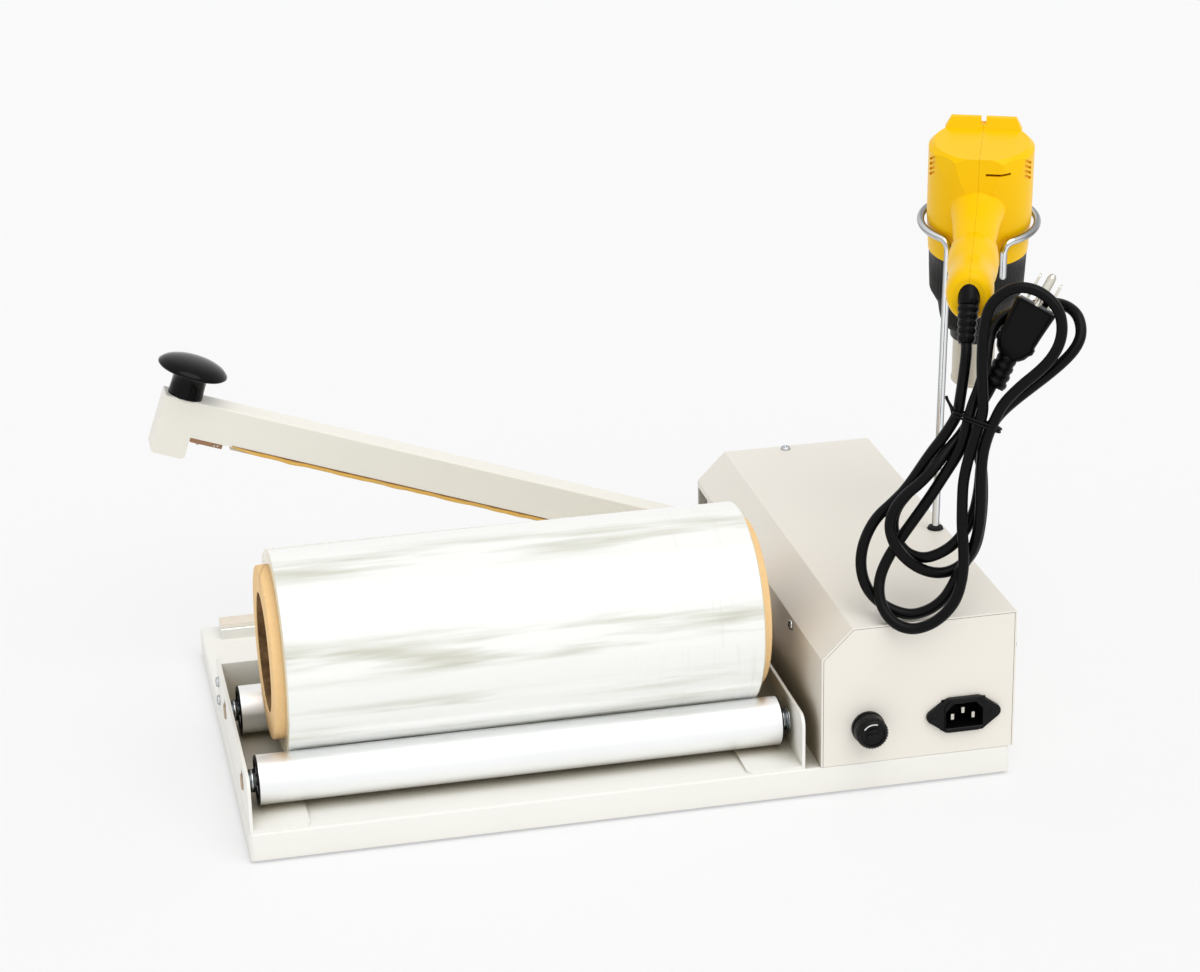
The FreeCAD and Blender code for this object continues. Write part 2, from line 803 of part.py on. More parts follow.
def front_panel():
    """The panel for the inlet and the fuse, also flanged along the base."""
    foot = box(housing_left + housing_chamfer, housing_right - panel_flange, panel_front,
               panel_front + panel_flange,
               base_top, base_top + panel_sheet)
    panel = end_panel(panel_front, 1).fuse(foot).removeSplitter()
    half_x = inlet_recess_width / 2 + inlet_wall + fit_gap
    half_z = inlet_recess_height / 2 + inlet_wall + fit_gap
    panel = panel.cut(box(inlet_x - half_x, inlet_x + half_x, panel_front, panel_front + panel_sheet,
                          inlet_z - half_z, inlet_z + half_z))
    panel = panel.cut(rod((fuse_x, panel_front, fuse_z), Y, fuse_barrel_radius + fit_gap, panel_sheet))
    for side in (-1, 1):
        panel = panel.cut(rod((inlet_x + side * inlet_screw_pitch / 2, panel_front, inlet_z), Y, 1.6,
                              panel_sheet))
    return drilled(panel)


def back_panel():
    panel = end_panel(panel_back, -1)
    panel = panel.cut(rod((timer_x, panel_back, timer_z), -Y, 4.0, panel_sheet))
    half_x = switch_width / 2 + fit_gap
    half_z = switch_height / 2 + fit_gap
    panel = panel.cut(box(timer_x - half_x, timer_x + half_x, panel_back - panel_sheet, panel_back,
                          switch_z - half_z, switch_z + half_z))
    return drilled(panel)


def housing_screws():
    screws = [screw(seat, way, 3.6, 2.2, 1.5, 5.0) for seat, way in cover_screw_seats()]
    for side in (-1, 1):
        seat = (inlet_x + side * inlet_screw_pitch / 2, panel_front - inlet_flange, inlet_z)
        screws.append(screw(seat, Y, 2.6, 1.4, 1.5, inlet_flange + panel_sheet))
    return screws


# Mains inlet and fuse in the front panel
def inlet_body():
    half_width = inlet_width / 2
    half_height = inlet_height / 2
    shoulder = inlet_shoulder / 2
    tip = 4.0
    points = [(-half_width, -tip), (-shoulder, -half_height), (shoulder, -half_height), (half_width, -tip),
              (half_width, tip), (shoulder, half_height), (-shoulder, half_height), (-half_width, tip)]
    face_y = panel_front - inlet_flange
    flange = prism([(inlet_x + x, face_y, inlet_z + z) for x, z in points], (0, inlet_flange, 0))
    flange = soften(flange, 2.0, lambda way, middle: abs(way.y) > 0.9)
    half_x = inlet_recess_width / 2
    half_z = inlet_recess_height / 2
    back = panel_front + inlet_recess_depth + inlet_wall
    socket = box(inlet_x - half_x - inlet_wall, inlet_x + half_x + inlet_wall, panel_front, back,
                 inlet_z - half_z - inlet_wall, inlet_z + half_z + inlet_wall)
    recess = box(inlet_x - half_x, inlet_x + half_x, face_y, back - inlet_wall, inlet_z - half_z,
                 inlet_z + half_z)
    recess = recess.makeChamfer(5.0, [edge for edge in recess.Edges
                                      if abs(edge.tangentAt(0).y) > 0.9 and edge.CenterOfMass.z > inlet_z])
    body = flange.fuse(socket).cut(recess).removeSplitter()
    for side in (-1, 1):
        body = body.cut(rod((inlet_x + side * inlet_screw_pitch / 2, face_y, inlet_z), Y, 1.6, inlet_flange))
    return body


def inlet_pins():
    """Three flat pins: earth above the middle, line and neutral below."""
    back = panel_front + inlet_recess_depth
    pins = []
    for dx, dz in ((-7.0, -2.0), (7.0, -2.0), (0.0, 2.0)):
        x = inlet_x + dx
        z = inlet_z + dz
        pins.append(box(x - 1.0, x + 1.0, panel_front, back, z - 2.0, z + 2.0))
    return group(pins)


def fuse_holder():
    flange = pipe((fuse_x, panel_front - 2.5, fuse_z), Y, fuse_flange_radius, fuse_barrel_radius - 1.0, 2.5)
    barrel = pipe((fuse_x, panel_front, fuse_z), Y, fuse_barrel_radius, fuse_barrel_radius - 1.0,
                  fuse_barrel_length)
    end = rod((fuse_x, panel_front + fuse_barrel_length, fuse_z), Y, fuse_barrel_radius, 1.5)
    return flange.fuse(barrel).fuse(end).removeSplitter()


def fuse_cap():
    """A bayonet cap with finger flats and a driver slot; its stem holds the fuse."""
    face = panel_front - 2.5 - fit_gap
    head = rod((fuse_x, face, fuse_z), -Y, fuse_cap_radius, fuse_cap_length)
    head = head.makeChamfer(1.2, [edge for edge in head.Edges if abs(edge.CenterOfMass.y - face) > 7.0])
    for side in (-1, 1):
        x0, x1 = sorted((fuse_x + side * fuse_cap_radius * 0.78, fuse_x + side * fuse_cap_radius * 1.1))
        head = head.cut(box(x0, x1, face - fuse_cap_length, face - 2.0, fuse_z - 9.0, fuse_z + 9.0))
    head = head.cut(box(fuse_x - 5.0, fuse_x + 5.0, face - fuse_cap_length, face - fuse_cap_length + 1.4,
                        fuse_z - 0.7, fuse_z + 0.7))
    stem = rod((fuse_x, face, fuse_z), Y, fuse_barrel_radius - 1.0 - fit_gap, 7.0)
    return head.fuse(stem)


# Timer control and power switch in the back panel
def timer_control():
    face = panel_back - panel_sheet
    body = rod((timer_x, face, timer_z), -Y, 8.5, 11.0)
    shaft = rod((timer_x, face, timer_z), Y, 3.0, panel_sheet + 11.0)
    nut = hexagon((timer_x, panel_back, timer_z), Y, 10.0, 2.0)
    return body.fuse(shaft).fuse(nut)


def timer_knob():
    """A fluted pointer knob that hides the control's nut."""
    low = panel_back + fit_gap
    length = timer_knob_length
    profile = [(6.5, 0), (timer_knob_radius, 0), (timer_knob_radius, 2.5), (timer_knob_radius - 2.0, 4.0),
               (timer_knob_radius - 3.0, length - 1.0), (timer_knob_radius - 4.0, length), (0, length),
               (0, 11.5),
               (3.0 + running_gap, 11.5), (3.0 + running_gap, 3.0), (6.5, 3.0)]
    knob = turned(profile, Vector(timer_x, low, timer_z), Y)
    for k in range(12):
        angle = math.radians(30 * k + 15)
        flute = rod((timer_x + timer_knob_radius * math.cos(angle), low + 4.0,
                     timer_z + timer_knob_radius * math.sin(angle)), Y, 2.2, length)
        knob = knob.cut(flute)
    return knob


def switch_frame():
    half_x = switch_width / 2
    half_z = switch_height / 2
    bezel = box(timer_x - half_x - 2.0, timer_x + half_x + 2.0, panel_back, panel_back + 2.0,
                switch_z - half_z - 2.0, switch_z + half_z + 2.0)
    bezel = soften(bezel, 2.0, lambda way, middle: abs(way.y) > 0.9)
    body = box(timer_x - half_x, timer_x + half_x, panel_back - switch_depth, panel_back,
               switch_z - half_z, switch_z + half_z)
    well = box(timer_x - half_x + 2.0, timer_x + half_x - 2.0, panel_back - 12.0, panel_back + 2.0,
               switch_z - half_z + 1.6, switch_z + half_z - 1.6)
    axle = rod((timer_x, panel_back - 2.0, switch_z - half_z + 1.0), Z, 1.5, switch_height - 2.0)
    return bezel.fuse(body).cut(well).fuse(axle)


def power_rocker():
    """A rocker with two tilted faces on the frame's cross pin, at rest with its off side pressed."""
    half_x = switch_width / 2 - 3.3
    half_z = switch_height / 2 - 2.0
    rise = 2.6
    points = [(-half_x, -4.0), (half_x, -4.0), (half_x, rise), (0, 0.8), (-half_x, rise)]
    rocker = prism([(timer_x + x, panel_back + y, switch_z - half_z) for x, y in points], (0, 0, 2 * half_z))
    hub = rod((timer_x, panel_back - 2.0, switch_z - half_z), Z, 3.2, 2 * half_z)
    rocker = rocker.fuse(hub).cut(rod((timer_x, panel_back - 2.0, switch_z - half_z), Z, 1.5 + running_gap,
                                      2 * half_z))
    rocker.rotate(Vector(timer_x, panel_back - 2.0, switch_z), Z, rocker_swing)
    return rocker


# Transformer, timer board and arm switch inside the housing
def transformer_core():
    """Stacked E sheets: an outer frame with a middle limb, one sixth of the width each."""
    limb = core_width / 6
    y0 = transformer_y - core_depth / 2
    y1 = transformer_y + core_depth / 2
    core = box(transformer_x - core_width / 2, transformer_x + core_width / 2, y0, y1,
               base_top, base_top + core_height)
    for side in (-1, 1):
        x0, x1 = sorted((transformer_x + side * limb, transformer_x + side * 2 * limb))
        core = core.cut(box(x0, x1, y0, y1, base_top + limb, base_top + core_height - limb))
    return core


def transformer_coil():
    """The winding round the middle limb, rounded where it turns outside the core."""
    limb = core_width / 6
    low = base_top + limb + fit_gap
    high = base_top + core_height - limb - fit_gap
    reach_x = 2 * limb - fit_gap
    reach_y = core_depth / 2 + coil_overhang
    outer = box(transformer_x - reach_x, transformer_x + reach_x, transformer_y - reach_y,
                transformer_y + reach_y,
                low, high)
    outer = soften(outer, 5.0, lambda way, middle: abs(way.z) > 0.9)
    return outer.cut(box(transformer_x - limb, transformer_x + limb, transformer_y - core_depth / 2,
                         transformer_y + core_depth / 2, low, high))


def timer_board():
    """The board on four pillars, with its relay and capacitor."""
    left = housing_left + board_margin
    right = housing_right - board_margin - panel_flange * 2
    top = base_top + pillar_height + board_sheet
    board = box(left, right, board_front, board_front + board_depth, top - board_sheet, top)
    for x in (left + 5.0, right - 5.0):
        for y in (board_front + 5.0, board_front + board_depth - 5.0):
            board = board.fuse(rod((x, y, base_top), Z, 2.5, pillar_height))
    relay = box(left + 12.0, left + 12.0 + relay_length, board_front + 12.0, board_front + 24.0, top,
                top + relay_height)
    capacitor = rod((right - 22.0, board_front + board_depth - 20.0, top), Z, 6.0, relay_height)
    return board.fuse(relay).fuse(capacitor)


def arm_switch():
    """The snap switch that the arm's tail works, on its own bracket beside the pivot."""
    x = pivot_x + 16.0
    y = jaw_y - arm_width / 2 - ear_gap - ear_sheet - 14.0
    foot = box(x, x + 20.0, y, y + 10.5, base_top, base_top + 1.5)
    upright = box(x, x + 20.0, y, y + 1.5, base_top, base_top + 36.0)
    body = box(x, x + 20.0, y + 1.5, y + 8.0, base_top + 22.0, base_top + 32.0)
    lever = box(x + 2.0, x + 20.0, y + 3.0, y + 7.0, base_top + 33.0, base_top + 33.6)
    plunger = rod((x + 6.0, y + 5.0, base_top + 32.0), Z, 1.0, 1.0)
    return foot.fuse(upright).fuse(body).fuse(lever).fuse(plunger)


# The gun hangs nozzle down; its frame is turned to face over the near corner and leans a little
gun_placement = Placement(
    Vector(gun_x, gun_y, gun_z),
    Rotation(Z, gun_yaw).multiply(Rotation(Y, gun_lean)).multiply(Rotation(X, gun_tilt)),
)


def gun_point(x, y, z):
    """A point of the gun's frame in the part's frame."""
    return gun_placement.multVec(Vector(x, y, z))


def hung(shape):
    """Moves a shape from the gun's frame to where the gun hangs."""
    shape.Placement = gun_placement.multiply(shape.Placement)
    return shape


# The wire stand and its grommet
def ring_point(angle, radius=ring_radius):
    return Vector(radius * math.cos(math.radians(angle)), radius * math.sin(math.radians(angle)), 0)


def tall_leg_top():
    """The corner where the tall leg turns into the ring."""
    angle = -90.0 - (180.0 - ring_opening) / 2
    end = ring_point(angle)
    tangent = Vector(-end.y, end.x, 0).normalize()
    return gun_placement.multVec(end + tangent * (ring_bend + 0.5))


grommet_centre = Vector(stand_x, stand_y, housing_top - cover_sheet / 2)


def stand_rod():
    """One wire: a tall leg, an open ring round the gun's barrel, and a short leg beside the handle."""
    left_angle = -90.0 - (180.0 - ring_opening) / 2
    right_angle = -90.0 + (180.0 - ring_opening) / 2
    left_end = ring_point(left_angle)
    right_end = ring_point(right_angle)
    right_way = Vector(right_end.y, -right_end.x, 0).normalize()
    right_corner = right_end + right_way * (ring_bend + 0.5)
    place = gun_placement.multVec
    leg_top = tall_leg_top()
    way = (leg_top - grommet_centre).normalize()
    foot = leg_top - way * ((leg_top.z - base_top - fit_gap) / way.z)
    tall, _ = bent_path([foot, leg_top, place(left_end)], [ring_bend])
    low_end = right_corner - Z * short_leg
    short, _ = bent_path([place(right_end), place(right_corner), place(low_end)], [ring_bend])
    ring = Part.Arc(place(left_end), place(ring_point(90.0)), place(right_end)).toShape()
    stand = swept(tall + [ring] + short, wire_radius)
    tip = Part.makeSphere(wire_radius, place(low_end))
    return stand.fuse(tip)


def stand_grommet():
    """A rubber grommet in the cover's top, with a lip above and below the sheet, leaning with the wire."""
    hole = wire_radius + 0.1
    neck = grommet_radius - 1.4
    half = cover_sheet / 2 + 0.25
    profile = [(hole, -half - 1.6), (grommet_radius - 0.4, -half - 1.6), (grommet_radius - 0.4, -half),
               (neck, -half),
               (neck, half), (grommet_radius, half), (grommet_radius - 0.8, half + 1.6), (hole, half + 1.6)]
    return turned(profile, grommet_centre, tall_leg_top() - grommet_centre)


# The heat gun's moulded body
def barrel_profile(inset):
    """Half of the barrel's section, from its lower seam to its rear cap."""
    top = cap_level - inset
    return [(0, seam_level), (barrel_low_radius - inset, seam_level), (barrel_radius - inset, 5.0),
            (barrel_radius - inset, top - cap_edge), (barrel_radius - inset - cap_edge, top), (0, top)]


def oval(y, level, half_width, half_height):
    """An upright oval across the handle."""
    centre = Vector(0, y, level)
    if half_height >= half_width:
        curve = Part.Ellipse(centre + Z * half_height, centre + X * half_width, centre)
    else:
        curve = Part.Ellipse(centre + X * half_width, centre + Z * half_height, centre)
    return Part.Wire(curve.toShape())


def handle(inset):
    """The handle, its end rounded over, inset for the inside of its wall."""
    wide = handle_half_width - inset
    tall = handle_half_height - inset
    end = -handle_length + inset
    sections = [oval(-20.0, handle_level + 2.0, wide, tall + 1.5),
                oval(-60.0, handle_level + 1.0, wide, tall + 0.5),
                oval(-95.0, handle_level, wide - 0.4, tall - 0.4), oval(end + 8.0, handle_level, wide, tall),
                oval(end + 2.5, handle_level, wide - 1.5, tall - 1.5),
                oval(end, handle_level, wide - 4.5, tall - 4.5)]
    return Part.makeLoft(sections, True, False)


def handle_root(inset):
    """The rounded root that flows from the barrel into the top of the handle."""
    places = [(-18.0, 20.0, 22.0, 19.5), (-30.0, 20.0, 18.5, 17.5), (-40.0, 18.5, 16.4, 14.0),
              (-52.0, 17.0, 15.0, 11.6),
              (-66.0, 15.5, 13.4, 9.8), (-84.0, 14.0, 10.5, 8.4)]
    sections = [oval(y, level, half_width - inset, half_height - inset)
                for y, level, half_width, half_height in places]
    return Part.makeLoft(sections, True, False)


def rear_facets(inset):
    """What is cut from the rear end to leave its straight front edge and the two slanted corners."""
    cuts = []
    for turn, distance in ((0, facet_front), (42, facet_corner), (-42, facet_corner)):
        flat = distance - inset
        block = box(-40.0, 40.0, -60.0, -flat, cap_level - 45.0, cap_level + 8.0)
        block.rotate(Vector(0, -flat, cap_level), X, -facet_slope)
        block.rotate(Vector(0, 0, 0), Z, turn)
        cuts.append(block)
    return cuts


def vent_slits():
    """Slanted louvres in both sides of the shell near the rear."""
    slits = []
    for side in (-1, 1):
        for k in range(4):
            slit = box(-vent_depth, 4.0, -5.0, 5.0, -0.8, 0.8)
            slit.rotate(Vector(0, 0, 0), X, -30 * side)
            turn = -25.0 if side > 0 else 205.0
            slit.rotate(Vector(0, 0, 0), Z, turn)
            way = math.radians(turn)
            slit.translate(Vector(barrel_radius * math.cos(way), barrel_radius * math.sin(way),
                                  vent_level + 3.6 * k))
            slits.append(slit)
    return slits


def rear_lip():
    """The raised lip along the back of the rear cap, ramped up from it and notched at the parting line."""
    half = lip_width / 2
    back = lip_back + lip_thickness
    top = cap_level + lip_height
    ramp = prism([(-half, lip_back - 5.0, cap_level - 1.0), (-half, lip_back, top), (-half, back, top),
                  (-half, back, cap_level - 1.0)], (lip_width, 0, 0))
    for side in (-1, 1):
        x0, x1 = sorted((side * (half - 3.0), side * (half + 4.0)))
        end = box(x0, x1, lip_back - 8.0, back + 2.0, cap_level, top + 4.0)
        end.rotate(Vector(side * half, 0, cap_level), Y, -side * 28.0)
        ramp = ramp.cut(end.translated(Vector(side * 2.4, 0, 0)))
    return ramp.cut(box(-1.6, 1.6, lip_back - 6.0, back + 1.0, cap_level + 2.5, top + 1.0))


def gun_casing():
    """The whole hollow casing before it is split along its middle."""
    barrel = turned(barrel_profile(0))
    cavity = turned(barrel_profile(gun_wall))
    for block, inner in zip(rear_facets(0), rear_facets(gun_wall)):
        barrel = barrel.cut(block)
        cavity = cavity.cut(inner)
    solid = barrel.fuse(handle(0)).fuse(handle_root(0)).fuse(rear_lip())
    solid = solid.cut(cavity.fuse(handle(gun_wall)))
    for slit in vent_slits():
        solid = solid.cut(slit)
    slot_top = cap_level - facet_slot_drop
    solid = solid.cut(box(facet_slot_start, facet_slot_start + 16.0, -40.0, -24.0, slot_top - 1.6, slot_top))
    solid = solid.cut(gun_switch_well())
    return solid.cut(relief_bore(0.1))


def split_half(side):
    """One half of the casing, on one side of the parting line."""
    reach = 200.0
    x0, x1 = sorted((side * running_gap, side * reach))
    half = gun_casing().common(box(x0, x1, -reach, reach, -reach, reach))
    return hung(half)


def shroud_profile():
    """The black nozzle guard: a straight collar, a cone and a rounded lower end round the neck."""
    low = seam_level - shroud_length
    wall = 2.2
    return [(barrel_low_radius - 0.6, seam_level), (32.0, seam_level - 30.0), (26.4, seam_level - 40.0),
            (23.6, low + 4.0),
            (21.0, low), (16.5, low), (16.5, low - 9.0), (nozzle_radius, low - 9.0),
            (nozzle_radius, low + wall),
            (20.6, low + wall), (24.0 - wall, low + 5.0), (26.4 - wall, seam_level - 41.0),
            (32.0 - wall, seam_level - 31.0), (barrel_low_radius - 0.6 - wall, seam_level)]


def gun_shroud():
    shroud = turned(shroud_profile())
    low = seam_level - shroud_length
    for k in range(shroud_ribs):
        angle = 360.0 / shroud_ribs * (k + 0.5)
        groove = box(31.4, 36.0, -1.1, 1.1, seam_level - 29.0, seam_level - 2.0)
        groove.rotate(Vector(0, 0, 0), Z, angle)
        slot = box(25.6, 30.0, -1.0, 1.0, low + 6.0, seam_level - 41.0)
        slot.rotate(Vector(0, 0, 0), Z, angle)
        shroud = shroud.cut(groove.fuse(slot))
    return hung(shroud)


def gun_nozzle():
    """A thin steel tube with a rolled rim at its open end."""
    inner = nozzle_radius - nozzle_wall
    rim = nozzle_radius + 0.6
    profile = [(inner, -45.0), (nozzle_radius, -45.0), (nozzle_radius, nozzle_end + 2.5),
               (rim, nozzle_end + 1.8),
               (rim, nozzle_end + 0.6), (nozzle_radius, nozzle_end), (inner, nozzle_end)]
    return hung(turned(profile))


def gun_motor():
    """The motor, its mounting cross and the shaft that carries the fan."""
    motor = rod((0, 0, -2.0), Z, 14.0, 30.0)
    reach = barrel_radius - gun_wall - fit_gap
    cross = box(-reach, reach, -3.0, 3.0, 8.0, 12.0)
    shaft = rod((0, 0, 28.0), Z, 1.6, 17.0)
    return hung(motor.fuse(cross).fuse(shaft))


def gun_fan():
    """A seven-bladed fan on the motor shaft, behind the air slits."""
    hub = rod((0, 0, 33.0), Z, 8.0, 9.0).cut(rod((0, 0, 33.0), Z, 1.6 + running_gap, 9.0))
    fan = hub
    for k in range(7):
        blade = box(7.0, 26.0, -0.7, 0.7, 33.5, 41.5)
        blade.rotate(Vector(0, 0, 37.5), X, 28)
        blade.rotate(Vector(0, 0, 0), Z, 360.0 / 7 * k)
        fan = fan.fuse(blade)
    return hung(fan)


def gun_heater():
    """The ceramic heater core in its mica sleeve, held by the nozzle."""
    sleeve = pipe((0, 0, -70.0), Z, nozzle_radius - nozzle_wall, nozzle_radius - nozzle_wall - 0.8, 62.0)
    core = rod((0, 0, -66.0), Z, 9.0, 50.0)
    cross = box(-12.6, 12.6, -1.0, 1.0, -40.0, -20.0).fuse(box(-1.0, 1.0, -12.6, 12.6, -40.0, -20.0))
    collar = pipe((0, 0, -12.0), Z, 31.0, nozzle_radius - nozzle_wall - 0.8, 2.0)
    return hung(sleeve.fuse(core).fuse(cross).fuse(collar))


def gun_switch_well():
    """The opening for the switch in the handle's nozzle side."""
    return box(-5.4, 5.4, switch_y - 12.0, switch_y + 12.0, switch_z_low - 6.0, switch_z_low + 8.0)


def gun_switch_body():
    """The switch's frame, which lines the opening and carries the rocker's pin."""
    outer = box(-5.3, 5.3, switch_y - 11.9, switch_y + 11.9, switch_z_low - 0.4, switch_z_low + 8.0)
    inner = box(-4.2, 4.2, switch_y - 10.6, switch_y + 10.6, switch_z_low - 0.4, switch_z_low + 6.5)
    pin = rod((-4.8, switch_y, switch_z_low + 2.0), X, 1.0, 9.6)
    return hung(outer.cut(inner).fuse(pin))


def gun_switch_rocker():
    points = [(-9.6, -2.4), (0, -0.6), (9.6, -2.4), (9.6, 1.5), (-9.6, 1.5)]
    rocker = prism([(-3.9, switch_y + y, switch_z_low + z) for y, z in points], (7.8, 0, 0))
    hub = rod((-3.9, switch_y, switch_z_low + 2.0), X, 2.4, 7.8)
    rocker = rocker.fuse(hub).cut(rod((-3.9, switch_y, switch_z_low + 2.0), X, 1.0 + running_gap, 7.8))
    return hung(rocker)


def relief_way():
    """The strain relief's direction in the gun's frame: out of the handle's end and down."""
    angle = math.radians(relief_angle)
    return Vector(0, -math.cos(angle), -math.sin(angle))


def relief_start():
    return Vector(0, -handle_length, handle_level + relief_rise)


def relief_bore(gap):
    start = relief_start() - relief_way() * relief_root
    return rod(start, relief_way(), relief_radius + gap, relief_root + 20.0)


def gun_strain_relief():
    """A ribbed rubber boot that tapers from the handle to the lead."""
    steps = 5
    tip_radius = cord_radius + 1.8
    profile = [(0, -relief_root), (relief_radius, -relief_root), (relief_radius, 3.0)]
    pitch = (relief_length - 3.0) / steps
    for k in range(steps):
        low = 3.0 + pitch * k
        share = (k + 0.5) / steps
        wide = relief_radius + (tip_radius - relief_radius) * share
        profile += [(wide - 1.0, low), (wide - 1.0, low + pitch * 0.3), (wide, low + pitch * 0.3),
                    (wide, low + pitch)]
    profile += [(0, relief_length)]
    return hung(turned(profile, relief_start(), relief_way()))


# The gun's lead: a free stretch from the boot, then a tied hank with the plug in it
hank_frame = Placement(
    Vector(tie_x, tie_y, tie_z),
    Rotation(Z, gun_yaw).multiply(Rotation(X, -hank_lean)),
)


def hank_point(side, rise, depth=0.0):
    """A point of the hank's own plane: to the right, upwards, and away from the viewer."""
    return hank_frame.multVec(Vector(side, depth, rise))


def lead_points():
    """The free stretch: straight out of the boot, then a slight bend into the hank's shoulder."""
    first = gun_placement.multVec(relief_start() + relief_way() * relief_length)
    heading = gun_placement.Rotation.multVec(relief_way())
    return [first, first + heading * lead_first_run, hank_point(*lead_entry)]


def gun_lead():
    edges, radii = bent_path(lead_points())
    print("lead arc radii", [round(radius, 1) for radius in radii])
    tube = swept(edges, cord_radius)
    length = sum(edge.Length for edge in edges)
    section = math.pi * cord_radius ** 2
    print("lead volume", round(tube.Volume, 1), "section times length", round(section * length, 1))
    return tube


# The hank's silhouette: a narrow waist at the tie, wide hanging loops below and the upper loops to the right
waist_right_low = (13.2, -9.1)
waist_left_low = (-15.9, 1.5)
waist_left_high = (-13.2, 9.1)
waist_right_high = (15.9, -1.5)
lower_loops = [waist_right_low, (8.0, -50.0), (1.0, -112.0), (-8.0, -129.0), (-22.0, -134.0), (-38.0, -124.5),
               (-56.0, -114.0), (-73.0, -92.0), (-58.0, -60.0), (-30.0, -24.0), waist_left_low]
upper_loops = [waist_left_high, (-3.5, 14.0), (-1.0, 32.0), (1.0, 60.0), (24.0, 88.0), (52.0, 76.0),
               (66.5, 56.0),
               (40.0, 24.0), waist_right_high]


def lead_hank():
    """One closed solid round all the loops, with a stub where the lead enters it."""
    def at_front(point):
        return Vector(point[0], -hank_thickness / 2, point[1])

    lower = Part.BSplineCurve()
    lower.interpolate([at_front(point) for point in lower_loops])
    upper = Part.BSplineCurve()
    upper.interpolate([at_front(point) for point in upper_loops])
    outline = Part.Wire([
        lower.toShape(),
        Part.LineSegment(at_front(waist_left_low), at_front(waist_left_high)).toShape(),
        upper.toShape(),
        Part.LineSegment(at_front(waist_right_high), at_front(waist_right_low)).toShape(),
    ])
    solid = Part.Face(outline).extrude(Y * hank_thickness)
    solid.Placement = hank_frame
    points = lead_points()
    heading = (points[2] - points[1]).normalize()
    return solid.fuse(rod(points[2], heading, cord_radius, lead_stub))


def lead_tie():
    """A twist tie round the hank's waist."""
    half_wide = tie_half_width + fit_gap
    half_deep = hank_thickness / 2 + fit_gap
    outer = box(-half_wide - tie_wall, half_wide + tie_wall, -half_deep - tie_wall, half_deep + tie_wall,
                -tie_height / 2, tie_height / 2)
    outer = soften(outer, 2.0, lambda way, middle: abs(way.z) > 0.9)
    tie = outer.cut(box(-half_wide, half_wide, -half_deep, half_deep, -tie_height / 2, tie_height / 2))
    tie.rotate(Vector(0, 0, 0), Y, tie_turn)
    tie.Placement = hank_frame.multiply(tie.Placement)
    return tie


def in_plug_place(shape):
    """Moves a shape from the plug's frame to its place behind the hank's upper loops."""
    depth = hank_thickness / 2 + 0.8 + plug_half_depth
    entry = Vector(plug_entry[0], depth, plug_entry[1])
    shape.Placement = hank_frame.multiply(Placement(entry, Rotation(Y, plug_turn)))
    return shape


def lead_plug():
    """A moulded plug: a round ribbed neck and a flat grip that widens to the face with the prongs."""
    neck = plug_neck_length
    rib = neck / 4
    profile = [(0, 0)]
    for k in range(4):
        wide = cord_radius + 1.2 + 0.7 * k
        profile += [(wide, rib * k), (wide, rib * (k + 0.7)), (wide - 1.0, rib * (k + 0.7)),
                    (wide - 1.0, rib * (k + 1))]
    profile += [(0, neck)]
    sections = []
    for level, wide, deep in ((neck, 7.0, 6.5), (neck + 5.0, 9.6, plug_half_depth),
                              (plug_length_all - 12.0, 11.0, plug_half_depth),
                              (plug_length_all, plug_half_width, plug_half_depth)):
        corners = [Vector(-wide, -deep + 3.0, level), Vector(-wide + 3.0, -deep, level),
                   Vector(wide - 3.0, -deep, level),
                   Vector(wide, -deep + 3.0, level), Vector(wide, deep - 3.0, level),
                   Vector(wide - 3.0, deep, level),
                   Vector(-wide + 3.0, deep, level), Vector(-wide, deep - 3.0, level)]
        sections.append(Part.makePolygon(corners + corners[:1]))
    grip = Part.makeLoft(sections, True, True)
    return in_plug_place(turned(profile).fuse(grip))


def plug_prongs():
    """Two flat blades and a round earth pin, standing in the plug's face."""
    face = plug_length_all
    blades = [box(-7.1, -5.6, -3.2, 3.2, face, face + blade_length),
              box(5.6, 7.1, -3.2, 3.2, face, face + blade_length)]
    earth = rod((0, -5.6, face), Z, 2.4, blade_length + 3.0)
    return in_plug_place(group(blades + [earth]))


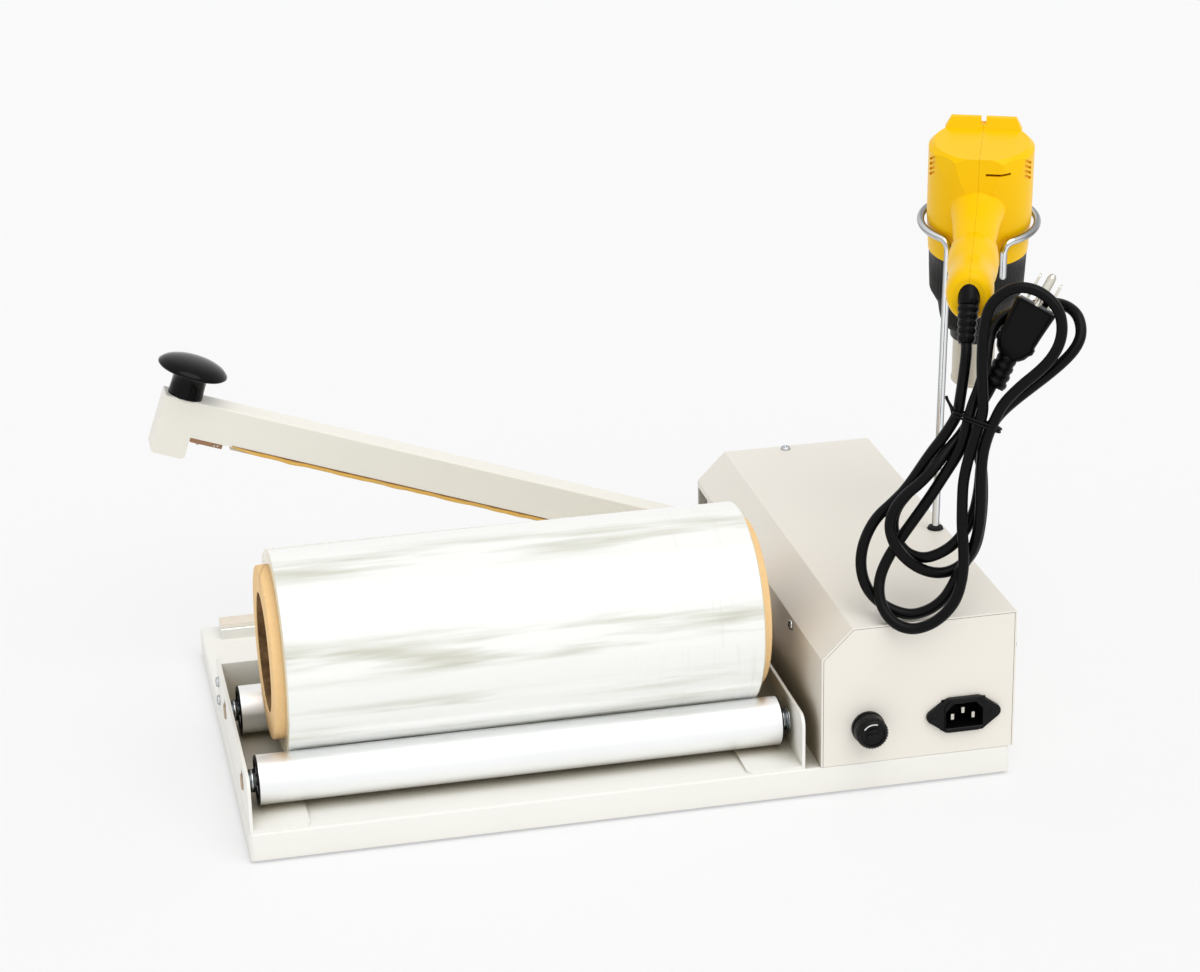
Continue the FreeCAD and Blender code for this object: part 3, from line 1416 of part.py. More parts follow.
# Every sub-part by name
nodes = {
    "base_pan": base_pan(),
    "bottom_plate": bottom_plate(),
    "rubber_feet": rubber_feet(),
    "roller_plate_left": side_plate(plate_left, 1),
    "roller_plate_right": side_plate(plate_right, -1),
    "cradle_cross_wall": cross_wall(),
    "roller_axles": roller_axles(),
    "front_roller_tube": roller_tube(axle_ys[0]),
    "front_roller_plugs": roller_plugs(axle_ys[0]),
    "rear_roller_tube": roller_tube(axle_ys[1]),
    "rear_roller_plugs": roller_plugs(axle_ys[1]),
    "film_wrap": film_wrap(),
    "film_core": film_core(),
    "lower_jaw_bar": lower_jaw_bar(),
    "jaw_rubber": jaw_rubber(),
    "jaw_tape": jaw_tape(),
    "arm_channel": arm_channel(),
    "arm_insulator": arm_insulator(),
    "sealing_element": sealing_element(),
    "arm_tape": arm_tape(),
    "tension_clamp": tension_clamp(),
    "arm_fasteners": arm_fasteners(),
    "arm_knob": arm_knob(),
    "arm_bushing": arm_bushing(),
    "pivot_bracket": pivot_bracket(),
    "pivot_pin": pivot_pin(),
    "return_spring": return_spring(),
    "housing_cover": housing_cover(),
    "front_panel": front_panel(),
    "back_panel": back_panel(),
    "body_screws": group(cradle_screws() + housing_screws()),
    "inlet_body": inlet_body(),
    "inlet_pins": inlet_pins(),
    "fuse_holder": fuse_holder(),
    "fuse_cap": fuse_cap(),
    "timer_control": timer_control(),
    "timer_knob": timer_knob(),
    "switch_frame": switch_frame(),
    "power_rocker": power_rocker(),
    "transformer_core": transformer_core(),
    "transformer_coil": transformer_coil(),
    "timer_board": timer_board(),
    "arm_switch": arm_switch(),
    "stand_rod": stand_rod(),
    "stand_grommet": stand_grommet(),
    "gun_left_shell": split_half(-1),
    "gun_right_shell": split_half(1),
    "gun_shroud": gun_shroud(),
    "gun_nozzle": gun_nozzle(),
    "gun_motor": gun_motor(),
    "gun_fan": gun_fan(),
    "gun_heater": gun_heater(),
    "gun_switch_body": gun_switch_body(),
    "gun_switch_rocker": gun_switch_rocker(),
    "gun_strain_relief": gun_strain_relief(),
    "gun_lead": gun_lead(),
    "lead_hank": lead_hank(),
    "lead_tie": lead_tie(),
    "lead_plug": lead_plug(),
    "plug_prongs": plug_prongs(),
}

for name, shape in nodes.items():
    solids = shape.Solids
    if not solids or not shape.isValid():
        print("check", name, "solids", len(solids), "valid", shape.isValid())
    shape.exportStep("parts/" + name + ".step")
print(len(nodes), "sub-parts")
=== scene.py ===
"""Looks of the table-top i-bar sealer: finishes, film roll, heat gun, the gun's lead and a pale studio.

Metres, +Z up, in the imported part's own frame. Each operator makes or finishes one group of pieces.
"""
import math
import random

import bmesh
import bpy
from bpy.props import FloatProperty, FloatVectorProperty, IntProperty, PointerProperty
from bpy.types import Operator, Panel, PropertyGroup
from mathutils import Matrix, Vector


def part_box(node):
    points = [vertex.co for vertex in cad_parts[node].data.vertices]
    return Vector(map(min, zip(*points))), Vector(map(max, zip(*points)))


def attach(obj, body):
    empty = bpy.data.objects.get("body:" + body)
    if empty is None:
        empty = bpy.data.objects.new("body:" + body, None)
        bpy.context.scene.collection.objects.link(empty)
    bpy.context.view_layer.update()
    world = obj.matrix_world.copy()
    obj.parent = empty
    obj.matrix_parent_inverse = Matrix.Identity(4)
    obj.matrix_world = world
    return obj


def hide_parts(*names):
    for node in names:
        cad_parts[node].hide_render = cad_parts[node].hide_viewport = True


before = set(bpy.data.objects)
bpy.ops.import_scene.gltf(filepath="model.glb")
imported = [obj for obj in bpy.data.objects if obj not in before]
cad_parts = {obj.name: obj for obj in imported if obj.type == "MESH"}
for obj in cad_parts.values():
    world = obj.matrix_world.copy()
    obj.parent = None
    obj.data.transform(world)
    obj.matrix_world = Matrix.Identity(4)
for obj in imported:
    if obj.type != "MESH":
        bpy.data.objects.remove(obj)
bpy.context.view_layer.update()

bl_info = {
    "name": "I-bar sealer looks",
    "version": (1, 0, 0),
    "blender": (4, 5, 0),
    "location": "3D View > Sidebar > Sealer",
    "description": "Finishes, film roll, heat gun details, lead and studio for the i-bar sealer",
    "category": "Object",
}


def paint(red, green, blue):
    """The linear colour of a screen colour whose parts run from 0 to 255."""
    parts = [value / 255 for value in (red, green, blue)]
    return tuple(part / 12.92 if part <= 0.04045 else ((part + 0.055) / 1.055) ** 2.4 for part in parts)


def colour_property(name, description, red, green, blue):
    return FloatVectorProperty(name=name, description=description, default=paint(red, green, blue),
                               subtype="COLOR", size=3, min=0.0, max=1.0)


def length_property(name, description, default):
    return FloatProperty(name=name, description=description, default=default, min=0.0, unit="LENGTH",
                         subtype="DISTANCE", precision=4)


class SEALER_PG_colours(PropertyGroup):
    """Colours of the painted and moulded parts"""
    base: colour_property("Base enamel", "Powder coat of the tray and the film cradle", 244, 243, 237)
    housing: colour_property("Housing enamel", "Powder coat of the housing and its panels", 239, 234, 224)
    arm: colour_property("Arm enamel", "Powder coat of the sealing arm", 241, 238, 228)
    gun: colour_property("Gun shell", "Moulded shells of the heat gun", 255, 202, 0)
    film: colour_property("Film", "Wound shrink film", 246, 247, 243)
    card: colour_property("Cardboard", "Core of the film roll", 255, 218, 160)
    rubber: colour_property("Cord rubber", "Jacket of the gun's lead and its plug", 5, 5, 6)


class SEALER_PG_film(PropertyGroup):
    """Sizes of the wound film"""
    edge_round: length_property("Edge rounding", "Radius of the roll's wound edges", 0.0012)
    layer_depth: length_property("Layer depth", "How far layers stand out of the roll's ends", 0.0003)
    seed: IntProperty(name="Seed", description="Which random winding is used", default=7, min=0)


class SEALER_PG_lead(PropertyGroup):
    """Sizes of the gun's lead"""
    diameter: length_property("Diameter", "Outside diameter of the lead", 0.0072)
    tie_wire: length_property("Tie strand", "Thickness of the tie round the hank", 0.0019)


class SEALER_PG_arm(PropertyGroup):
    """Sizes of the arm's knob and its tape"""
    knob_width: length_property("Knob width", "Across the knob's cap", 0.049)
    knob_height: length_property("Knob height", "From the arm to the top of the cap", 0.0277)
    knob_stem: length_property("Knob stem", "Across the knob's stem", 0.0244)
    tape_sag: length_property("Tape wander", "How far the tape's belly rises and falls", 0.0012)
    seed: IntProperty(name="Seed", description="Which random folds the tape has", default=11, min=0)


class SEALER_PG_hardware(PropertyGroup):
    """Sizes of the screws"""
    screw_radius: length_property("Screw radius", "Radius of a panel screw's head", 0.0036)
    screw_height: length_property("Screw height", "Height of a panel screw's head", 0.0022)


class SEALER_PG_gun(PropertyGroup):
    """Sizes of the heat gun's details"""
    boot_fall: FloatProperty(name="Boot fall", default=48.2, min=0.0, max=90.0,
                             description="How far the boot points below the handle, in degrees")
    guard_ribs: IntProperty(name="Guard ribs", default=120, min=12,
                            description="Number of fine ribs round the guard")


class SEALER_PG_studio(PropertyGroup):
    """Light and floor of the studio"""
    ambient: FloatProperty(name="Ambient", description="Strength of the even light", default=0.69, min=0.0)
    key: FloatProperty(name="Key", default=1.25, min=0.0,
                       description="Strength of the large lamp high in front")
    floor: colour_property("Floor", "Colour of the floor", 250, 250, 250)


class Graph:
    """A node tree that is being filled: it adds nodes, sets their inputs by name and links them."""

    def __init__(self, tree):
        self.tree = tree

    def add(self, kind, inputs=None, **settings):
        node = self.tree.nodes.new(kind)
        for name, value in settings.items():
            setattr(node, name, value)
        for name, value in (inputs or {}).items():
            self.put(value, node.inputs[name])
        return node

    def put(self, value, socket):
        if isinstance(value, bpy.types.NodeSocket):
            self.tree.links.new(value, socket)
        elif isinstance(value, tuple) and len(value) == 3 and socket.type == "RGBA":
            socket.default_value = (*value, 1.0)
        else:
            socket.default_value = value

    def math(self, operation, *values, clamp=False):
        node = self.add("ShaderNodeMath", operation=operation, use_clamp=clamp)
        for value, socket in zip(values, node.inputs):
            self.put(value, socket)
        return node.outputs[0]

    def times(self, first, second):
        return self.math("MULTIPLY", first, second)

    def plus(self, first, second):
        return self.math("ADD", first, second)

    def minus(self, first, second):
        return self.math("SUBTRACT", first, second)

    def blend(self, share, first, second):
        node = self.add("ShaderNodeMix", data_type="RGBA")
        self.put(share, node.inputs[0])
        self.put(first, node.inputs[6])
        self.put(second, node.inputs[7])
        return node.outputs[2]

    def ramp(self, value, stops):
        """Colours from stops of (place, colour)."""
        node = self.add("ShaderNodeValToRGB", {"Fac": value})
        line = node.color_ramp
        while len(line.elements) < len(stops):
            line.elements.new(1.0)
        for element, (place, colour) in zip(line.elements, stops):
            element.position = place
            element.color = (*colour, 1.0)
        return node.outputs["Color"]

    def levels(self, value, low, high, first=0.0, last=1.0):
        node = self.add("ShaderNodeMapRange", {"Value": value, "From Min": low, "From Max": high,
                                               "To Min": first, "To Max": last})
        return node.outputs["Result"]

    def noise(self, vector, scale, detail=2.0, roughness=0.5):
        node = self.add("ShaderNodeTexNoise", {"Vector": vector, "Scale": scale, "Detail": detail,
                                               "Roughness": roughness})
        return node.outputs["Fac"]

    def join(self, *shapes):
        node = self.add("GeometryNodeJoinGeometry")
        for shape in shapes:
            self.put(shape, node.inputs[0])
        return node.outputs[0]

    def parts(self, vector):
        return self.add("ShaderNodeSeparateXYZ", {"Vector": vector}).outputs

    def vector(self, x, y, z):
        return self.add("ShaderNodeCombineXYZ", {"X": x, "Y": y, "Z": z}).outputs[0]


def shader_group(name, inputs, outputs, fill):
    """A shader node group with named sockets, built once; fill links its inside."""
    if name in bpy.data.node_groups:
        return bpy.data.node_groups[name]
    tree = bpy.data.node_groups.new(name, "ShaderNodeTree")
    for label, kind, default in inputs:
        socket = tree.interface.new_socket(name=label, in_out="INPUT", socket_type=kind)
        if default is not None:
            socket.default_value = default
    for label, kind in outputs:
        tree.interface.new_socket(name=label, in_out="OUTPUT", socket_type=kind)
    graph = Graph(tree)
    fill(graph, graph.add("NodeGroupInput").outputs, graph.add("NodeGroupOutput").inputs)
    return tree


def mottled_colour():
    """A colour that varies a little in lightness and warmth over the surface."""
    def fill(graph, given, result):
        cloud = graph.noise(given["Vector"], given["Scale"], 4.0, 0.6)
        lightness = graph.math("MULTIPLY_ADD", graph.minus(cloud, 0.5), given["Amount"], 1.0)
        shifted = graph.add("ShaderNodeHueSaturation", {"Color": given["Colour"], "Value": lightness})
        graph.put(shifted.outputs[0], result["Colour"])
        graph.put(cloud, result["Cloud"])
    return shader_group("Mottled colour", [
        ("Vector", "NodeSocketVector", None), ("Colour", "NodeSocketColor", None),
        ("Scale", "NodeSocketFloat", 30.0), ("Amount", "NodeSocketFloat", 0.05),
    ], [("Colour", "NodeSocketColor"), ("Cloud", "NodeSocketFloat")], fill)


def fine_grain():
    """The height of a fine moulded or sprayed grain with a coarser swell under it."""
    def fill(graph, given, result):
        fine = graph.noise(given["Vector"], given["Scale"], 2.0, 0.5)
        coarse = graph.noise(given["Vector"], graph.times(given["Scale"], 0.11), 1.0, 0.5)
        graph.put(graph.plus(graph.times(fine, 0.45), coarse), result["Height"])
    return shader_group("Fine grain", [
        ("Vector", "NodeSocketVector", None), ("Scale", "NodeSocketFloat", 900.0),
    ], [("Height", "NodeSocketFloat")], fill)


def low_warm_veil():
    """A faint warm veil in patches, that fades with height above the table."""
    def fill(graph, given, result):
        height = graph.parts(given["Vector"])["Z"]
        low = graph.levels(height, 0.0, given["Reach"], 1.0, 0.0)
        patchy = graph.times(low, graph.noise(given["Vector"], 14.0, 3.0))
        share = graph.math("MULTIPLY", patchy, given["Amount"], clamp=True)
        graph.put(graph.blend(share, given["Colour"], given["Dust"]), result["Colour"])
    return shader_group("Settled dust", [
        ("Vector", "NodeSocketVector", None), ("Colour", "NodeSocketColor", None),
        ("Dust", "NodeSocketColor", (0.35, 0.31, 0.25, 1.0)), ("Reach", "NodeSocketFloat", 0.03),
        ("Amount", "NodeSocketFloat", 0.3),
    ], [("Colour", "NodeSocketColor")], fill)


def round_an_axis():
    """The angle in turns and the radius about a line along X."""
    def fill(graph, given, result):
        offset = graph.add("ShaderNodeVectorMath", {0: given["Vector"], 1: given["Centre"]},
                           operation="SUBTRACT").outputs[0]
        parts = graph.parts(offset)
        turn = graph.math("DIVIDE", graph.math("ARCTAN2", parts["Z"], parts["Y"]), math.tau)
        square = graph.plus(graph.times(parts["Y"], parts["Y"]), graph.times(parts["Z"], parts["Z"]))
        graph.put(turn, result["Turn"])
        graph.put(graph.math("SQRT", square), result["Radius"])
        graph.put(parts["X"], result["Along"])
    return shader_group("Round an axis", [
        ("Vector", "NodeSocketVector", None), ("Centre", "NodeSocketVector", None),
    ], [("Turn", "NodeSocketFloat"), ("Radius", "NodeSocketFloat"), ("Along", "NodeSocketFloat")], fill)


def start_material(name):
    """An empty material with its graph, its Principled shader and its object coordinates."""
    material = bpy.data.materials.new(name)
    material.use_nodes = True
    tree = material.node_tree
    tree.nodes.clear()
    graph = Graph(tree)
    shader = graph.add("ShaderNodeBsdfPrincipled")
    output = graph.add("ShaderNodeOutputMaterial", {"Surface": shader.outputs[0]})
    output.location = (400, 0)
    here = graph.add("ShaderNodeTexCoord").outputs["Object"]
    return material, graph, shader, here


def place_group(graph, tree, inputs):
    node = graph.add("ShaderNodeGroup", node_tree=tree)
    for name, value in inputs.items():
        graph.put(value, node.inputs[name])
    return node.outputs


def mottled(graph, here, colour, scale, amount):
    """The outputs of a placed group of mottled colour."""
    return place_group(graph, mottled_colour(), {"Vector": here, "Colour": colour, "Scale": scale,
                                                 "Amount": amount})


def raise_surface(graph, shader, height, depth):
    bump = graph.add("ShaderNodeBump", {"Height": height, "Distance": depth, "Strength": 1.0})
    graph.put(bump.outputs[0], shader.inputs["Normal"])


# How far contact shade reaches out of the corners of painted parts, in metres
corner_reach = 0.045


def coated(name, colour, roughness, metallic=0.0, grain=900.0, depth=0.00004, mottle=0.05, cloud=22.0,
           dust=0.0, specular=0.5, shade=None):
    """A painted, plated or moulded finish: mottled colour, fine grain and patchy gloss.

    The low veil darkens and warms the colour in patches near the table, and shade is the colour of painted
    contact shade in corners.
    """
    material, graph, shader, here = start_material(name)
    tint = mottled(graph, here, colour, cloud, mottle)
    shown = tint["Colour"]
    if dust:
        veil = {"Vector": here, "Colour": shown, "Amount": dust}
        shown = place_group(graph, low_warm_veil(), veil)["Colour"]
    if shade:
        open_sky = graph.add("ShaderNodeAmbientOcclusion", {"Distance": corner_reach}, samples=8)
        shown = graph.blend(graph.levels(open_sky.outputs["AO"], 0.52, 0.08), shown, shade)
    graph.put(shown, shader.inputs["Base Color"])
    gloss = graph.levels(tint["Cloud"], 0.3, 0.7, roughness * 0.88, roughness * 1.12)
    graph.put(gloss, shader.inputs["Roughness"])
    shader.inputs["Metallic"].default_value = metallic
    shader.inputs["Specular IOR Level"].default_value = specular
    grain_height = place_group(graph, fine_grain(), {"Vector": here, "Scale": grain})["Height"]
    raise_surface(graph, shader, grain_height, depth)
    return material


def polished(name, centre, edge, roughness, sheen_streaks=0.0):
    """Plated wire and pins, with painted reflections: bright where they face the viewer and darker at the
    rim, as under a pale studio.

    The streak strength sets how strongly two narrow bands of painted reflection, in the rim's colour, show
    along the sides.
    """
    material, graph, shader, here = start_material(name)
    # Painted reflection: the colour turns from the bright centre colour to the dark rim colour towards the
    # rim
    facing = graph.add("ShaderNodeLayerWeight", {"Blend": 0.42}).outputs["Facing"]
    tint = mottled(graph, here, centre, 60.0, 0.08)
    shown = graph.blend(facing, tint["Colour"], edge)
    # Painted reflection: two dark bands where the normal lies across two fixed directions
    if sheen_streaks:
        normal = graph.add("ShaderNodeNewGeometry").outputs["Normal"]
        for way in ((0.78, 0.62, 0.05), (0.1, 0.32, 0.94)):
            slope = graph.add("ShaderNodeVectorMath", {0: normal, 1: way}, operation="DOT_PRODUCT")
            line = graph.levels(graph.math("ABSOLUTE", slope.outputs["Value"]), 0.3, 0.1)
            shown = graph.blend(graph.times(line, sheen_streaks), shown, edge)
    graph.put(shown, shader.inputs["Base Color"])
    shader.inputs["Metallic"].default_value = 1.0
    shader.inputs["Roughness"].default_value = roughness
    height = place_group(graph, fine_grain(), {"Vector": here, "Scale": 500.0})["Height"]
    raise_surface(graph, shader, height, 0.00001)
    return material


def turned_metal(name, colour, roughness):
    """Metal turned or drawn, with fine rings round the X axis and faint mottling."""
    material, graph, shader, here = start_material(name)
    rings = graph.noise(graph.vector(graph.parts(here)["X"], 0.0, 0.0), 900.0, 3.0, 0.7)
    graph.put(mottled(graph, here, colour, 12.0, 0.07)["Colour"], shader.inputs["Base Color"])
    gloss = graph.levels(rings, 0.3, 0.7, roughness * 0.85, roughness * 1.15)
    graph.put(gloss, shader.inputs["Roughness"])
    shader.inputs["Metallic"].default_value = 1.0
    raise_surface(graph, shader, rings, 0.00003)
    return material


def wound_film(name, colour, centre):
    """Clear film wound tight: silvery white, with long soft streaks and bands that are painted highlights and
    painted reflections over real variation between layers, and fine creases round its right end with painted
    shade in them.
    """
    material, graph, shader, here = start_material(name)
    spot = place_group(graph, round_an_axis(), {"Vector": here, "Centre": centre})
    turn, along, radius = spot["Turn"], spot["Along"], spot["Radius"]
    angle = graph.times(turn, math.tau)
    sine, cosine = graph.math("SINE", angle), graph.math("COSINE", angle)
    # Streaks along the roll and bands round it: painted highlights and painted reflections, partly real
    # variation between layers
    sheen_streaks = graph.noise(graph.vector(graph.times(along, 1.3), sine, cosine), 5.0, 3.0, 0.55)
    bands = graph.levels(graph.noise(graph.vector(0.0, sine, cosine), 2.2, 1.0), 0.42, 0.58)
    crease_place = graph.vector(graph.times(along, 230.0), graph.times(turn, 5.0), 0.0)
    creases = graph.levels(graph.noise(crease_place, 1.0, 3.0, 0.6), 0.56, 0.74)
    fine = graph.times(creases, graph.levels(along, 0.055, 0.14))
    streak_sheen_colour = graph.ramp(sheen_streaks, [(0.34, paint(206, 206, 192)), (0.5, colour), (0.7, paint(252, 252, 250))])
    clean = graph.blend(bands, colour, streak_sheen_colour)
    # Painted shade: the creases near the right end are darkened to grey
    shade = graph.blend(graph.times(fine, 0.3), clean, paint(206, 208, 192))
    layers = graph.noise(graph.vector(graph.times(radius, 2600.0), graph.times(turn, 2.0), 0.0), 1.0, 2.0)
    ends = graph.ramp(layers, [(0.3, paint(214, 200, 160)), (0.7, paint(240, 231, 204))])
    is_end = graph.levels(graph.math("ABSOLUTE", along), 0.1528, 0.1535)
    graph.put(graph.blend(is_end, shade, ends), shader.inputs["Base Color"])
    graph.put(graph.levels(sheen_streaks, 0.35, 0.65, 0.16, 0.26), shader.inputs["Roughness"])
    shader.inputs["Coat Weight"].default_value = 0.5
    shader.inputs["Coat Roughness"].default_value = 0.06
    relief = graph.plus(graph.times(sheen_streaks, 0.5), graph.times(fine, 0.25))
    raise_surface(graph, shader, relief, 0.0006)
    return material


# The radius of the card core's bore, in metres
bore_radius = 0.0385


def rolled_card(name, colour, centre):
    """Pale brown board wound in a spiral: fibres, a seam round the tube, layers, and painted shade inside the
    bore, mottled.
    """
    material, graph, shader, here = start_material(name)
    spot = place_group(graph, round_an_axis(), {"Vector": here, "Centre": centre})
    fibres = graph.noise(graph.vector(graph.times(spot["Along"], 700.0),
                                      graph.times(spot["Turn"], 120.0),
                                      graph.times(spot["Radius"], 900.0)), 1.0, 3.0)
    layers = graph.noise(graph.vector(graph.times(spot["Radius"], 1500.0), 0.0, 0.0), 1.0, 1.0)
    lead = graph.math("FRACT", graph.plus(graph.times(spot["Along"], 11.0), spot["Turn"]))
    seam = graph.levels(graph.math("ABSOLUTE", graph.minus(lead, 0.5)), 0.0, 0.012, 1.0, 0.0)
    grain = graph.blend(graph.times(fibres, 0.3), colour, paint(196, 142, 84))
    layered = graph.blend(graph.times(layers, 0.3), grain, paint(246, 214, 166))
    seamed = graph.blend(graph.times(seam, 0.35), layered, paint(140, 100, 60))
    # Painted shade inside the bore: a mottled dark brown
    bore_shade_mottle = graph.levels(graph.noise(here, 70.0, 4.0, 0.7), 0.35, 0.65)
    bore = graph.ramp(bore_shade_mottle, [(0.0, paint(92, 66, 40)), (1.0, paint(158, 124, 84))])
    inside = graph.levels(spot["Radius"], bore_radius + 0.0004, bore_radius + 0.0001)
    graph.put(graph.blend(inside, seamed, bore), shader.inputs["Base Color"])
    shader.inputs["Roughness"].default_value = 0.85
    shader.inputs["Specular IOR Level"].default_value = 0.25
    raise_surface(graph, shader, graph.plus(fibres, layers), 0.0002)
    return material


def woven_tape(name, colour, edge):
    """Coated glass-cloth tape: a fine weave under a glaze that darkens in patches."""
    material, graph, shader, here = start_material(name)
    parts = graph.parts(here)
    warp = graph.math("SINE", graph.times(parts["X"], 5200.0))
    weft = graph.math("SINE", graph.times(parts["Y"], 5200.0))
    weave = graph.times(warp, weft)
    scorched = graph.noise(here, 26.0, 4.0, 0.65)
    glazed = graph.blend(graph.levels(scorched, 0.35, 0.75, 0.0, 0.5), colour, edge)
    graph.put(glazed, shader.inputs["Base Color"])
    shader.inputs["Roughness"].default_value = 0.38
    shader.inputs["Specular IOR Level"].default_value = 0.4
    raise_surface(graph, shader, weave, 0.00006)
    return material


def flap_tape(name, colour, edge):
    """The arm's tape, with painted shade in a brown band along both top edges, under the arm's edge. Its own
    map runs along the strip and across it.
    """
    material, graph, shader, _ = start_material(name)
    parts = graph.parts(graph.add("ShaderNodeUVMap", uv_map="strip").outputs[0])
    from_edge = graph.math("ABSOLUTE", graph.minus(parts["Y"], 0.5))
    patch_place = graph.vector(graph.times(parts["X"], 60.0), parts["Y"], 0.0)
    patch = graph.noise(patch_place, 1.0, 4.0, 0.6)
    # Painted shade: a brown band along both top edges of the strip, under the arm's edge
    arm_edge_shade = graph.levels(graph.plus(from_edge, graph.times(patch, 0.05)), 0.475, 0.51)
    body = graph.blend(graph.levels(patch, 0.4, 0.75, 0.0, 0.45), colour, paint(240, 206, 130))
    graph.put(graph.blend(arm_edge_shade, body, edge), shader.inputs["Base Color"])
    shader.inputs["Roughness"].default_value = 0.3
    warp = graph.math("SINE", graph.times(parts["X"], 5200.0))
    weft = graph.math("SINE", graph.times(parts["Y"], 160.0))
    raise_surface(graph, shader, graph.times(warp, weft), 0.00005)
    return material


# From millimetres to metres
metres = Matrix.Scale(0.001, 4)


def frame_at(place, *turns):
    """A frame at a point, turned in order about its own axes. It takes millimetres to metres."""
    matrix = Matrix.Translation(Vector(place) / 1000)
    for axis, angle in turns:
        matrix = matrix @ Matrix.Rotation(math.radians(angle), 4, axis)
    return matrix @ metres


# Lines that several CAD parts share, in millimetres
arm_line = 147.3
axle_height = 40.0
axle_lines = {"front_roller": -126.5, "rear_roller": -21.5}
outer_plate_faces = (-247.5, 110.5)
inner_plate_faces = (-245.5, 108.5)

# The frames that the CAD parts are laid out in. The plug is drawn larger than in the CAD.
gun_frame = frame_at((279.0, 11.5, 325.0), ("Z", -21.5), ("Y", 1.0), ("X", 9.0))
hank_frame = frame_at((226.2, -145.3, 242.3), ("Z", -21.5), ("X", -17.0))
plug_frame = (hank_frame @ Matrix.Translation((8.0, 17.5, 22.0)) @ Matrix.Rotation(math.radians(27.0), 4, "Y")
              @ Matrix.Scale(1.16, 4))
pivot = (156.5, arm_line, 54.0)
arm_frame = frame_at(pivot, ("Y", 19.5)) @ Matrix.Translation(-Vector(pivot))


def piece_from(name, mesh, finish, body):
    """A finished piece of the object: its mesh, the name of its finish and the body it rides on."""
    piece = bpy.data.objects.new(name, mesh)
    bpy.context.scene.collection.objects.link(piece)
    mesh.name = name
    mesh.materials.clear()
    mesh.materials.append(bpy.data.materials[finish])
    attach(piece, body)
    return piece


def finished(name, build, place, crease=38.0):
    """A mesh from a bmesh: doubles merged, faces outwards, smooth but for its creases, and placed."""
    bmesh.ops.remove_doubles(build, verts=build.verts, dist=0.0002)
    bmesh.ops.recalc_face_normals(build, faces=build.faces)
    mesh = bpy.data.meshes.new(name)
    build.to_mesh(mesh)
    build.free()
    mesh.transform(place)
    mesh.polygons.foreach_set("use_smooth", [True] * len(mesh.polygons))
    mesh.set_sharp_from_angle(angle=math.radians(crease))
    return mesh


def bridge(build, loops, closed):
    """Quads between loops of corners that match one to one, and round the last to the first when closed."""
    pairs = list(zip(loops, loops[1:])) + ([(loops[-1], loops[0])] if closed else [])
    for first, second in pairs:
        for index in range(len(first)):
            after = (index + 1) % len(first)
            build.faces.new((first[index], first[after], second[after], second[index]))


def lathe(name, profile, place, steps=96, crease=38.0):
    """A solid of revolution about a frame's Z axis, from (radius, height) points in order."""
    build = bmesh.new()
    rings = []
    for step in range(steps):
        angle = math.tau * step / steps
        rings.append([build.verts.new((radius * math.cos(angle), radius * math.sin(angle), height))
                      for radius, height in profile])
    bridge(build, rings, True)
    return finished(name, build, place, crease)


def loft(name, loops, place, crease=38.0):
    """A closed solid through loops of points, with a flat cap on its first and its last loop."""
    build = bmesh.new()
    rings = [[build.verts.new(point) for point in loop] for loop in loops]
    bridge(build, rings, False)
    build.faces.new(rings[0])
    build.faces.new(rings[-1])
    return finished(name, build, place, crease)


def four_corners(half_x, half_y, radius):
    """The corner circles of a rounded rectangle, as (x, y, radius)."""
    radius = min(radius, half_x - 0.01, half_y - 0.01)
    return [(x * (half_x - radius), y * (half_y - radius), radius)
            for x, y in ((-1, -1), (1, -1), (1, 1), (-1, 1))]


def hull_loop(circles, level, count=64):
    """The outline of the smallest band round some circles, at a height."""
    loop = []
    for index in range(count):
        angle = math.tau * (index + 0.5) / count
        way = (math.cos(angle), math.sin(angle))
        x, y, radius = max(circles, key=lambda circle: circle[0] * way[0] + circle[1] * way[1] + circle[2])
        loop.append((x + radius * way[0], y + radius * way[1], level))
    return loop


def rounded_loops(shape, corner, count=64):
    """The outlines of rounded rectangles, from the height and the two half widths of each."""
    return [hull_loop(four_corners(half_x, half_y, corner), level, count) for level, half_x, half_y in shape]


def joined(name, meshes):
    """Several meshes as one."""
    build = bmesh.new()
    for mesh in meshes:
        build.from_mesh(mesh)
    whole = bpy.data.meshes.new(name)
    build.to_mesh(whole)
    build.free()
    return whole


def plain_mesh(holder):
    """The finished mesh of an object, whose own object is then removed."""
    bpy.context.view_layer.update()
    mesh = bpy.data.meshes.new_from_object(holder.evaluated_get(bpy.context.evaluated_depsgraph_get()))
    bpy.data.objects.remove(holder)
    return mesh


def wire(name, points, radius, place):
    """A round wire along a smooth line through a frame's points."""
    curve = bpy.data.curves.new(name, "CURVE")
    curve.dimensions = "3D"
    curve.bevel_depth = radius / 1000
    curve.bevel_resolution = 3
    curve.use_fill_caps = True
    curve.resolution_u = 5
    line = curve.splines.new("NURBS")
    line.points.add(len(points) - 1)
    for point, spot in zip(line.points, points):
        point.co = (*(place @ Vector(spot)), 1.0)
    line.order_u = 4
    line.use_endpoint_u = True
    holder = bpy.data.objects.new(name, curve)
    bpy.context.scene.collection.objects.link(holder)
    mesh = plain_mesh(holder)
    mesh.polygons.foreach_set("use_smooth", [True] * len(mesh.polygons))
    return mesh


def seats_mesh(name, places, ways):
    """Points in millimetres for a tree of geometry nodes, each with the way that its piece faces."""
    mesh = bpy.data.meshes.new(name)
    mesh.from_pydata([Vector(place) for place in places], [], [])
    facing = mesh.attributes.new("way", "FLOAT_VECTOR", "POINT")
    facing.data.foreach_set("vector", [part for way in ways for part in way])
    return mesh


